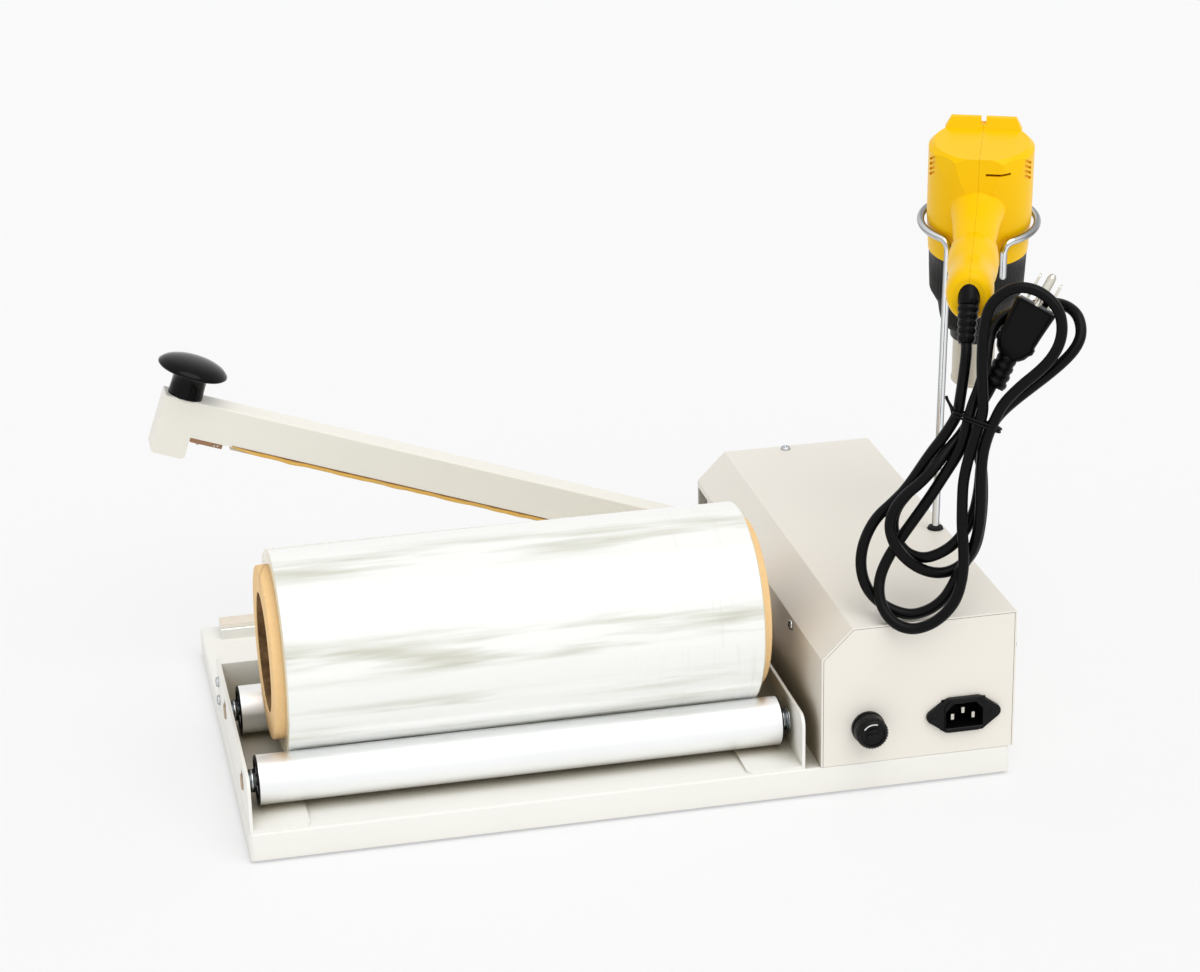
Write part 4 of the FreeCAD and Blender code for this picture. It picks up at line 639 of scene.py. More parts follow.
def grow(name, seats, tree, values, finish):
    """The plain mesh that a tree of geometry nodes makes on some seats, in the seats' own units."""
    holder = bpy.data.objects.new(name, seats)
    bpy.context.scene.collection.objects.link(holder)
    modifier = holder.modifiers.new("Grow", "NODES")
    modifier.node_group = tree
    given = {**values, "Material": bpy.data.materials[finish]}
    for socket in tree.interface.items_tree:
        if socket.item_type == "SOCKET" and socket.in_out == "INPUT" and socket.name in given:
            modifier[socket.identifier] = given[socket.name]
    return plain_mesh(holder)


def growing_tree(name, sizes, fill):
    """A tree of geometry nodes with named sizes. The shape that fill makes stands on every seat."""
    if name in bpy.data.node_groups:
        return bpy.data.node_groups[name]
    tree = bpy.data.node_groups.new(name, "GeometryNodeTree")
    tree.is_modifier = True
    tree.interface.new_socket(name="Seats", in_out="INPUT", socket_type="NodeSocketGeometry")
    for label, kind, default in [*sizes, ("Seed", "NodeSocketInt", 3)]:
        tree.interface.new_socket(name=label, in_out="INPUT", socket_type=kind).default_value = default
    tree.interface.new_socket(name="Material", in_out="INPUT", socket_type="NodeSocketMaterial")
    tree.interface.new_socket(name="Geometry", in_out="OUTPUT", socket_type="NodeSocketGeometry")
    graph = Graph(tree)
    given = graph.add("NodeGroupInput").outputs
    shape = fill(graph, given)
    way = graph.add("GeometryNodeInputNamedAttribute", {"Name": "way"}, data_type="FLOAT_VECTOR").outputs[0]
    facing = graph.add("FunctionNodeAlignRotationToVector", {"Vector": way}, axis="Z").outputs[0]
    roll = graph.add("FunctionNodeRandomValue", {"Seed": given["Seed"]}, data_type="FLOAT")
    roll.inputs[2].default_value, roll.inputs[3].default_value = -0.7, 0.7
    spin = graph.add("FunctionNodeAxisAngleToRotation", {"Axis": (0.0, 0.0, 1.0), "Angle": roll.outputs[1]})
    turned = graph.add("FunctionNodeRotateRotation", {"Rotation": facing, "Rotate By": spin.outputs[0]},
                       rotation_space="LOCAL")
    placed = graph.add("GeometryNodeInstanceOnPoints", {"Points": given["Seats"], "Instance": shape,
                                                        "Rotation": turned.outputs[0]})
    real = graph.add("GeometryNodeRealizeInstances", {"Geometry": placed.outputs[0]})
    smooth = graph.add("GeometryNodeSetShadeSmooth", {"Geometry": real.outputs[0]})
    painted = graph.add("GeometryNodeSetMaterial", {"Geometry": smooth.outputs[0],
                                                    "Material": given["Material"]})
    graph.add("NodeGroupOutput", {"Geometry": painted.outputs[0]})
    return tree


def cross_head():
    """A pan head with a cross recess, from a grid drawn in to a disc, closed by a flat underside."""
    def fill(graph, given):
        grid = graph.add("GeometryNodeMeshGrid", {"Size X": 2.0, "Size Y": 2.0, "Vertices X": 25,
                                                  "Vertices Y": 25}).outputs[0]
        spot = graph.parts(graph.add("GeometryNodeInputPosition").outputs[0])
        across, along = spot["X"], spot["Y"]

        def on_disc(part, other):
            """One coordinate of the grid's square after it is drawn in to a disc."""
            half_square = graph.times(graph.times(other, other), 0.5)
            return graph.times(part, graph.math("SQRT", graph.minus(1.0, half_square)))

        flat_x, flat_y = on_disc(across, along), on_disc(along, across)
        reach = graph.plus(graph.times(flat_x, flat_x), graph.times(flat_y, flat_y))
        dome = graph.minus(1.0, graph.times(reach, 0.24))
        rim = graph.math("POWER", graph.levels(graph.math("SQRT", reach), 1.0, 0.78), 0.5)
        arms = []
        for long, short in ((across, along), (along, across)):
            inside = graph.math("LESS_THAN", graph.math("ABSOLUTE", long), given["Recess length"])
            narrow = graph.levels(graph.math("ABSOLUTE", short), 0.18, 0.08)
            arms.append(graph.times(inside, narrow))
        recess = graph.times(graph.math("MAXIMUM", *arms), given["Recess depth"])
        height = graph.times(graph.minus(graph.times(dome, rim), recess), given["Head height"])
        wide = [graph.times(part, given["Head radius"]) for part in (flat_x, flat_y)]
        top, under = (graph.add("GeometryNodeSetPosition", {
            "Geometry": grid, "Position": graph.vector(*wide, level)}).outputs[0] for level in (height, 0.0))
        turned = graph.add("GeometryNodeFlipFaces", {"Mesh": under}).outputs[0]
        return graph.add("GeometryNodeMergeByDistance", {"Geometry": graph.join(top, turned),
                                                         "Distance": 0.001}).outputs[0]
    return growing_tree("Cross-head screws", [
        ("Head radius", "NodeSocketFloat", 3.6), ("Head height", "NodeSocketFloat", 2.2),
        ("Recess length", "NodeSocketFloat", 0.6), ("Recess depth", "NodeSocketFloat", 0.75),
    ], fill)


def solid_ring(graph, outer, height, level, sides):
    """A short round or many-sided block at a height."""
    block = graph.add("GeometryNodeMeshCylinder", {"Vertices": sides, "Radius": outer, "Depth": height})
    middle = graph.plus(graph.times(height, 0.5), level)
    return graph.add("GeometryNodeTransform", {"Geometry": block.outputs["Mesh"],
                                               "Translation": graph.vector(0.0, 0.0, middle)}).outputs[0]


def axle_end():
    """A washer, a smaller one with fourteen corners, and a hex nut that is narrower at both its ends."""
    def fill(graph, given):
        washer, thick = given["Washer radius"], given["Washer thickness"]
        nut, tall = given["Nut radius"], given["Nut thickness"]
        thin = graph.times(thick, 0.55)
        top = graph.plus(thick, thin)
        steps = [(washer, thick, 0.0, 48), (graph.times(washer, 0.84), thin, thick, 14),
                 (graph.times(nut, 0.93), tall, top, 6),
                 (nut, graph.times(tall, 0.7), graph.plus(top, graph.times(tall, 0.15)), 6)]
        return graph.join(*(solid_ring(graph, *step) for step in steps))
    return growing_tree("Axle ends", [
        ("Washer radius", "NodeSocketFloat", 8.5), ("Washer thickness", "NodeSocketFloat", 1.2),
        ("Nut radius", "NodeSocketFloat", 7.4), ("Nut thickness", "NodeSocketFloat", 4.4),
    ], fill)


def ribbed_sleeve():
    """A tapered sleeve with rounded ribs round it at an even pitch, each a little smaller than the last."""
    def fill(graph, given):
        tip, root, pitch = given["Tip radius"], given["Root radius"], given["Pitch"]
        core = graph.add("GeometryNodeMeshCone", {"Vertices": 48, "Side Segments": 6, "Radius Top": tip,
                                                  "Radius Bottom": root, "Depth": given["Length"]})
        line = graph.add("GeometryNodeMeshLine", {
            "Count": given["Ribs"], "Offset": graph.vector(0.0, 0.0, pitch),
            "Start Location": graph.vector(0.0, 0.0, graph.times(pitch, 0.55))})
        round_line = graph.add("GeometryNodeCurvePrimitiveCircle", {"Resolution": 48, "Radius": 1.0})
        section = graph.add("GeometryNodeCurvePrimitiveCircle", {"Resolution": 12, "Radius": 1.0})
        flat = graph.vector(graph.math("DIVIDE", given["Rib height"], root), graph.times(pitch, 0.4), 1.0)
        lying = graph.add("GeometryNodeTransform", {"Geometry": section.outputs[0], "Scale": flat})
        ring = graph.add("GeometryNodeCurveToMesh", {"Curve": round_line.outputs[0],
                                                     "Profile Curve": lying.outputs[0]})
        index = graph.add("GeometryNodeInputIndex").outputs[0]
        share = graph.math("DIVIDE", graph.plus(index, 0.5), given["Ribs"])
        wide = graph.plus(root, graph.times(share, graph.minus(tip, root)))
        ribs = graph.add("GeometryNodeInstanceOnPoints", {
            "Points": line.outputs[0], "Instance": ring.outputs[0], "Scale": graph.vector(wide, wide, 1.0)})
        return graph.join(core.outputs["Mesh"], ribs.outputs[0])
    return growing_tree("Ribbed sleeve", [
        ("Ribs", "NodeSocketInt", 5), ("Pitch", "NodeSocketFloat", 4.0),
        ("Tip radius", "NodeSocketFloat", 4.6), ("Root radius", "NodeSocketFloat", 6.4),
        ("Rib height", "NodeSocketFloat", 0.9), ("Length", "NodeSocketFloat", 20.0),
    ], fill)


def coil():
    """A coil of round wire that climbs along its seat's way."""
    def fill(graph, given):
        line = graph.add("GeometryNodeCurveSpiral", {
            "Resolution": 20, "Rotations": given["Turns"], "Start Radius": given["Coil radius"],
            "End Radius": given["Coil radius"], "Height": given["Length"]})
        section = graph.add("GeometryNodeCurvePrimitiveCircle", {"Resolution": 10,
                                                                 "Radius": given["Wire radius"]})
        return graph.add("GeometryNodeCurveToMesh", {
            "Curve": line.outputs[0], "Profile Curve": section.outputs[0], "Fill Caps": True}).outputs[0]
    return growing_tree("Coil", [
        ("Turns", "NodeSocketFloat", 9.0), ("Coil radius", "NodeSocketFloat", 4.0),
        ("Wire radius", "NodeSocketFloat", 0.7), ("Length", "NodeSocketFloat", 50.0),
    ], fill)


def finger_ribs():
    """Upright ribs round a knob's side, at even angles."""
    def fill(graph, given):
        circle = graph.add("GeometryNodeMeshCircle", {"Vertices": given["Ribs"], "Radius": given["Radius"]})
        spot = graph.add("GeometryNodeInputPosition").outputs[0]
        facing = graph.add("FunctionNodeAlignRotationToVector", {"Vector": spot}, axis="X").outputs[0]
        rib = graph.add("GeometryNodeMeshCylinder", {"Vertices": 10, "Radius": given["Rib radius"],
                                                     "Depth": given["Height"]})
        raised = graph.add("GeometryNodeTransform", {
            "Geometry": rib.outputs["Mesh"],
            "Translation": graph.vector(0.0, 0.0, graph.times(given["Height"], 0.5))})
        placed = graph.add("GeometryNodeInstanceOnPoints", {
            "Points": circle.outputs[0], "Instance": raised.outputs[0], "Rotation": facing})
        return placed.outputs[0]
    return growing_tree("Finger ribs", [
        ("Ribs", "NodeSocketInt", 24), ("Radius", "NodeSocketFloat", 10.0),
        ("Rib radius", "NodeSocketFloat", 0.5), ("Height", "NodeSocketFloat", 8.0),
    ], fill)


def slot_finishes(colours):
    """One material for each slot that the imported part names."""
    base, housing, arm = tuple(colours.base), tuple(colours.housing), tuple(colours.arm)
    return {
        "base_enamel": coated("Base enamel", base, 0.42, grain=700.0, depth=0.00005, mottle=0.02,
                              dust=0.12, shade=paint(158, 148, 122)),
        "housing_enamel": coated("Housing enamel", housing, 0.40, grain=700.0, depth=0.00006, mottle=0.02,
                                 shade=paint(140, 128, 102)),
        "arm_enamel": coated("Arm enamel", arm, 0.40, grain=700.0, depth=0.00006, mottle=0.02),
        "bare_steel": coated("Bare steel", paint(196, 186, 176), 0.34, 1.0, grain=500.0, mottle=0.16,
                             cloud=60.0),
        "zinc": polished("Zinc plate", paint(214, 218, 220), paint(74, 88, 96), 0.24),
        "nozzle_steel": coated("Nozzle steel", paint(196, 190, 176), 0.42, 1.0, grain=500.0, mottle=0.2,
                               cloud=45.0),
        "spring_steel": coated("Spring steel", paint(150, 152, 154), 0.30, 1.0, grain=800.0, mottle=0.1),
        "laminations": coated("Core sheets", paint(120, 122, 124), 0.45, 0.8, grain=1500.0, mottle=0.2),
        "jaw_alu": turned_metal("Jaw aluminium", paint(232, 232, 228), 0.42),
        "roller_alu": turned_metal("Roller aluminium", paint(246, 247, 248), 0.42),
        "chrome": polished("Chrome wire", paint(244, 246, 248), paint(40, 42, 46), 0.07, sheen_streaks=0.5),
        "pin_brass": polished("Plated pins", paint(222, 218, 206), paint(84, 80, 72), 0.2),
        "bronze": coated("Bearing bronze", paint(188, 140, 84), 0.34, 1.0, grain=1200.0, mottle=0.1),
        "copper": coated("Winding copper", paint(196, 112, 66), 0.35, 0.9, grain=1500.0, mottle=0.15),
        "element": coated("Heating ribbon", paint(150, 146, 140), 0.34, 1.0, grain=900.0, mottle=0.15),
        "foot_rubber": coated("Foot rubber", paint(20, 20, 20), 0.7, grain=900.0, depth=0.00008,
                              specular=0.2),
        "jaw_rubber": coated("Jaw rubber", paint(232, 226, 214), 0.6, grain=900.0, depth=0.00006),
        "cord_rubber": coated("Cord rubber", tuple(colours.rubber), 0.34, grain=900.0, depth=0.00003,
                              mottle=0.2, specular=0.12),
        "black_plastic": coated("Black plastic", paint(11, 11, 12), 0.32, grain=1400.0, depth=0.00004,
                                mottle=0.1, specular=0.16),
        "black_gloss": coated("Black gloss", paint(4, 4, 6), 0.1, grain=600.0, depth=0.00001,
                              specular=0.13),
        "gun_yellow": coated("Gun shell", tuple(colours.gun), 0.3, grain=1500.0, depth=0.00004,
                             mottle=0.02, specular=0.12, shade=paint(224, 140, 0)),
        "insulator": coated("Insulator", paint(206, 196, 172), 0.6, grain=900.0, depth=0.00005),
        "mica": coated("Mica", paint(196, 184, 156), 0.5, grain=500.0, mottle=0.15),
        "board": coated("Circuit board", paint(38, 92, 62), 0.45, grain=900.0, mottle=0.1),
        "tape": woven_tape("Jaw tape", paint(238, 228, 214), paint(226, 206, 180)),
        "film": wound_film("Wound film", tuple(colours.film), film_centre()),
        "cardboard": rolled_card("Rolled card", tuple(colours.card), film_centre()),
    }


def piece_finishes():
    """The finishes that only the scene's own pieces wear."""
    # The second colour is painted shade along the tape's top edges, under the arm
    flap_tape("Arm tape", paint(238, 186, 84), paint(122, 76, 30))
    coated("Clamp bronze", paint(168, 132, 104), 0.36, 1.0, grain=900.0, depth=0.00002, mottle=0.2)
    # The axle ends' tan colour is painted shade, the colour of the shaded slot round each axle end
    coated("Axle end", paint(178, 158, 134), 0.5, 0.4, grain=900.0, depth=0.00002, mottle=0.2)
    coated("Grey moulding", paint(92, 92, 96), 0.3, grain=900.0, depth=0.00002, specular=0.4)
    coated("Guard plastic", paint(16, 16, 17), 0.4, grain=1400.0, depth=0.00004, mottle=0.1, specular=0.35)
    coated("Dial paint", paint(228, 228, 224), 0.5, grain=900.0, depth=0.00001)


def film_centre():
    """The middle of the film roll."""
    low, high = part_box("film_wrap")
    return (low + high) / 2


class SEALER_OT_finishes(Operator):
    """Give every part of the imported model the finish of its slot"""
    bl_idname = "sealer.finishes"
    bl_label = "Finish the frame"

    def execute(self, context):
        finishes = slot_finishes(context.scene.sealer_colours)
        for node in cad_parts.values():
            mesh = node.data
            for index, old in enumerate(mesh.materials):
                slot = old.name.split(".")[0]
                if slot not in finishes:
                    raise RuntimeError(f"no finish for slot {slot} of {node.name}")
                mesh.materials[index] = finishes[slot]
        piece_finishes()
        for name, finish in (("tension_clamp", "Clamp bronze"), ("front_roller_plugs", "Zinc plate"),
                             ("rear_roller_plugs", "Zinc plate")):
            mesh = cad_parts[name].data
            for index in range(len(mesh.materials)):
                mesh.materials[index] = bpy.data.materials[finish]
        return {"FINISHED"}


class SEALER_OT_film_roll(Operator):
    """Make the wound film with its layered ends and the cardboard core it is wound on"""
    bl_idname = "sealer.film_roll"
    bl_label = "Film roll"

    def execute(self, context):
        sizes = context.scene.sealer_film
        chance = random.Random(sizes.seed)
        low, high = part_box("film_wrap")
        half, outer = (high.x - low.x) / 2, (high.z - low.z) / 2
        core_low, core_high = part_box("film_core")
        core_half, core_outer = (core_high.x - core_low.x) / 2, (core_high.z - core_low.z) / 2
        core_gap, recess, ripple = 0.0002, 0.01, 0.00005
        round_edge, inner = sizes.edge_round, core_outer + core_gap
        layers, bands = 16, 44

        def end_face(sign):
            """From the core outwards: single layers stand out by a little."""
            return [(sign * (half - chance.random() * sizes.layer_depth),
                     inner + (outer - round_edge - core_outer) * index / layers)
                    for index in range(layers + 1)]

        def shell():
            """Along the outside: tight bands of slightly different radius."""
            return [(-half + round_edge + 2 * (half - round_edge) * index / bands,
                     outer - chance.random() * ripple)
                    for index in range(bands + 1)]

        def turned(name, profile, steps, finish):
            """A piece turned about the roll's line, from (along, radius) points in metres."""
            place = frame_at(film_centre() * 1000, ("Y", 90.0))
            points = [(radius * 1000, along * 1000) for along, radius in profile]
            return piece_from(name, lathe(name, points, place, steps), finish, "film_roll")

        wrap = end_face(-1) + shell() + end_face(1)[::-1] + [(half - recess, inner), (-half + recess, inner)]
        roll = turned("wound_film", wrap, 192, "Wound film")
        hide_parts("film_wrap")
        soft, lean = 0.0008, 0.0002
        card = [(-core_half, bore_radius + soft), (-core_half + lean, core_outer - soft),
                (-core_half + soft, core_outer), (core_half - soft, core_outer),
                (core_half - lean, core_outer - soft), (core_half, bore_radius + soft),
                (core_half - soft, bore_radius), (-core_half + soft, bore_radius)]
        core = turned("card_core", card, 128, "Rolled card")
        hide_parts("film_core")
        return {"FINISHED"}


# The gun's lead from the boot to the plug, in the hank's own frame and in millimetres: sideways, away
# from the viewer, and up
lead_route = [
    (-9.0, 11.8, 48.2), (-8.2, 8.9, 44.8), (-9.8, 7.1, 25.9), (-11.3, 4.7, 12.2), (-12.3, 4.4, 3.3),
    (-20.2, 4.4, -10.3), (-29.2, 4.8, -22.7), (-42.4, 5.0, -44.4), (-51.3, 5.6, -54.1),
    (-62.5, 5.6, -65.0), (-69.4, 5.7, -80.7), (-70.7, 5.8, -95.7), (-66.8, 5.8, -108.7),
    (-59.0, 5.9, -117.6), (-48.6, 5.8, -123.3), (-37.3, 5.7, -125.7), (-26.0, 5.6, -122.0),
    (-16.9, 4.9, -114.7), (-11.2, 4.3, -104.6), (-6.2, 3.8, -93.2), (0.3, 2.6, -82.4), (3.6, -0.7, -68.9),
    (4.6, -3.1, -55.3), (4.0, -4.6, -36.5), (4.4, -4.3, -20.6), (7.4, -4.3, -8.3), (10.2, -4.2, -1.3),
    (15.3, -4.1, 10.9), (26.1, -4.1, 22.8), (37.4, -4.1, 32.5), (44.9, -4.1, 40.8), (50.0, -4.1, 50.8),
    (51.1, -4.0, 61.6), (48.3, -4.0, 71.7), (40.9, -4.1, 79.7), (31.4, -4.1, 84.5), (20.5, -4.1, 85.0),
    (11.2, -4.1, 79.6), (4.9, -4.2, 71.8), (2.4, -4.2, 60.0), (1.7, -4.3, 47.8), (2.0, -4.4, 32.3),
    (3.2, -4.5, 16.9), (3.9, -4.6, 4.5), (0.1, -4.8, -6.2), (-3.8, -4.8, -21.3), (-7.0, -4.6, -37.6),
    (-7.1, -4.5, -51.6), (-6.7, -4.4, -67.7), (-4.7, -4.4, -83.5), (-5.0, -4.3, -98.8),
    (-8.4, -4.3, -113.4), (-16.2, -4.3, -123.9), (-25.4, -4.3, -130.7), (-36.2, -4.4, -133.8),
    (-46.7, -4.0, -130.8), (-54.5, -2.4, -122.3), (-58.2, -0.5, -111.5), (-57.2, 2.5, -98.9),
    (-51.0, 3.5, -85.3), (-42.0, 3.2, -71.2), (-29.2, 2.4, -52.0), (-18.0, 1.0, -32.9),
    (-11.0, -0.1, -21.2), (-7.3, -0.8, -11.1), (-5.7, -0.9, 0.1), (-3.2, 1.5, 10.1), (0.5, 3.6, 20.5),
    (3.9, 5.5, 34.4), (4.8, 8.5, 47.4), (6.0, 13.3, 56.5), (11.0, 22.0, 64.3), (20.4, 29.4, 68.9),
    (30.9, 32.7, 72.8), (42.5, 29.7, 75.5), (52.8, 20.7, 74.1), (60.5, 13.7, 68.2), (63.1, 8.7, 57.5),
    (60.5, 5.8, 49.0), (54.3, 4.4, 40.9), (44.4, 3.9, 31.6), (33.5, 4.0, 22.5), (22.2, 4.0, 13.1),
    (13.7, 4.1, 4.6), (8.7, 3.9, -3.2), (4.4, 5.3, -14.9), (3.5, 5.1, -29.8), (2.7, 5.2, -45.5),
    (0.2, 5.2, -59.0), (-4.8, 5.3, -69.9), (-11.7, 5.4, -79.3), (-20.8, 5.3, -85.7), (-30.5, 6.3, -89.2),
    (-41.1, 9.3, -86.9), (-48.1, 11.5, -79.5), (-51.6, 12.0, -69.1), (-49.5, 12.1, -58.0),
    (-41.6, 12.1, -47.5), (-32.6, 12.4, -37.0), (-26.8, 13.8, -26.2), (-18.9, 16.0, -19.0),
    (-9.3, 20.3, -15.3), (-1.6, 27.8, -18.9), (2.5, 34.1, -27.7), (3.9, 36.4, -40.2), (4.6, 31.9, -54.4),
    (4.0, 24.5, -67.3), (2.3, 17.2, -79.1), (-2.1, 12.8, -88.3), (-10.6, 10.7, -95.8), (-20.5, 7.6, -98.6),
    (-31.8, 2.5, -95.9), (-42.2, -1.9, -88.7), (-49.5, -4.7, -79.0), (-52.7, -4.0, -68.1),
    (-50.1, -3.9, -57.7), (-43.3, -3.8, -48.5), (-33.9, -3.2, -40.4), (-24.7, -1.1, -29.6),
    (-18.1, 3.1, -19.5), (-10.4, 8.1, -10.1), (-5.3, 11.1, -1.7), (4.0, 17.5, 13.6), (8.8, 17.5, 23.8),
]


class SEALER_OT_lead(Operator):
    """Lay the gun's lead: out of the boot, round the loops of its hank and into the plug"""
    bl_idname = "sealer.lead"
    bl_label = "Lead"

    def execute(self, context):
        sizes = context.scene.sealer_lead
        curve = bpy.data.curves.new("gun_cord", "CURVE")
        curve.dimensions = "3D"
        curve.bevel_depth = sizes.diameter / 2
        curve.bevel_resolution = 5
        curve.use_fill_caps = True
        curve.resolution_u = 8
        line = curve.splines.new("NURBS")
        line.points.add(len(lead_route) - 1)
        for point, place in zip(line.points, lead_route):
            point.co = (*(hank_frame @ Vector(place)), 1.0)
        line.order_u = 3
        line.use_endpoint_u = True
        cord = bpy.data.objects.new("gun_cord", curve)
        context.scene.collection.objects.link(cord)
        curve.materials.append(bpy.data.materials["Cord rubber"])
        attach(cord, "heat_gun")
        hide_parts("gun_lead", "lead_hank")
        carried = [self.plug(), self.plug_face(), *self.prongs(), self.tie(sizes.tie_wire)]
        return {"FINISHED"}

    def plug(self):
        """The moulded plug: a ribbed neck and a flat grip with a low ridge round its shoulder."""
        shape = [(18.0, 6.2, 5.6), (20.5, 8.6, 6.8), (23.5, 9.9, 7.8), (25.0, 11.2, 8.0), (27.5, 11.3, 8.2),
                 (28.5, 10.5, 8.2), (36.0, 10.9, 8.4), (44.0, 11.6, 8.5), (48.0, 12.0, 8.5),
                 (49.0, 12.0, 8.4), (49.6, 11.5, 8.0)]
        grip = loft("lead_plug_body", rounded_loops(shape, 3.4), plug_frame)
        seats = seats_mesh("plug_neck", [(0.0, 0.0, 0.0)], [(0.0, 0.0, 1.0)])
        neck = grow("plug_neck", seats, ribbed_sleeve(), {
            "Ribs": 4, "Pitch": 4.6, "Tip radius": 4.8, "Root radius": 6.8, "Rib height": 0.9, "Length": 20.0,
        }, "Cord rubber")
        neck.transform(plug_frame)
        piece = piece_from("plug_body", joined("plug_body", [grip, neck]), "Cord rubber", "heat_gun")
        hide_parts("lead_plug")
        return piece

    def plug_face(self):
        """The grey end disc that holds the prongs."""
        shape = [(49.0, 10.6, 7.6), (50.2, 10.6, 7.6), (50.8, 10.0, 7.0)]
        mesh = loft("plug_face", rounded_loops(shape, 6.0), plug_frame)
        piece = piece_from("plug_face", mesh, "Grey moulding", "heat_gun")
        return piece

    def prongs(self):
        """Two blades with eased tips, and the longer round earth pin."""
        shape = [(49.0, 0.75, 3.2), (63.5, 0.75, 3.2), (65.4, 0.6, 2.7), (66.0, 0.3, 1.9)]
        pieces = []
        for name, across in (("plug_blade_left", -6.35), ("plug_blade_right", 6.35)):
            place = plug_frame @ Matrix.Translation((across, 0.0, 0.0))
            blade = loft(name, rounded_loops(shape, 0.25), place)
            pieces.append(piece_from(name, blade, "Plated pins", "heat_gun"))
        profile = [(0.0, 49.0), (2.4, 49.0), (2.4, 66.2), (1.9, 68.0), (1.0, 68.9), (0.0, 69.0)]
        pin = lathe("plug_earth", profile, plug_frame @ Matrix.Translation((0.0, -5.6, 0.0)), 32)
        pieces.append(piece_from("plug_earth", pin, "Plated pins", "heat_gun"))
        for piece in pieces:
            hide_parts("plug_prongs")
        return pieces

    def tie(self, strand):
        """Two turns of coated wire round the hank's waist, with two ends that cross."""
        radius = strand * 500
        around = []
        for step in range(61):
            angle = math.tau * (2 * step / 60 + 0.55)
            around.append((15.9 * math.cos(angle), 8.2 * math.sin(angle), (step / 60 - 0.5) * 4.2 * radius))
        tail = [(-16.6, -3.0, 1.5), (-19.2, -4.6, 3.5), (-21.6, -3.2, 5.0), (-23.4, -4.4, 6.8)]
        tail_back = [(-16.2, 3.6, -1.5), (-18.8, -1.6, 3.6), (-21.4, -5.0, 4.4), (-23.6, -3.6, 7.6)]
        tilt = hank_frame @ Matrix.Rotation(math.radians(20.0), 4, "Y")
        meshes = [wire("tie_turns", around, radius, tilt), wire("tie_end", tail, radius, tilt),
                  wire("tie_end_back", tail_back, radius, tilt)]
        piece = piece_from("tie_wire", joined("tie_wire", meshes), "Cord rubber", "heat_gun")
        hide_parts("lead_tie")
        return piece


# On the arm as it lies when closed, in millimetres: the knob's seat and the clamp's outer face
knob_seat = (-274.4, arm_line, 60.1)
clamp_face = 138.0


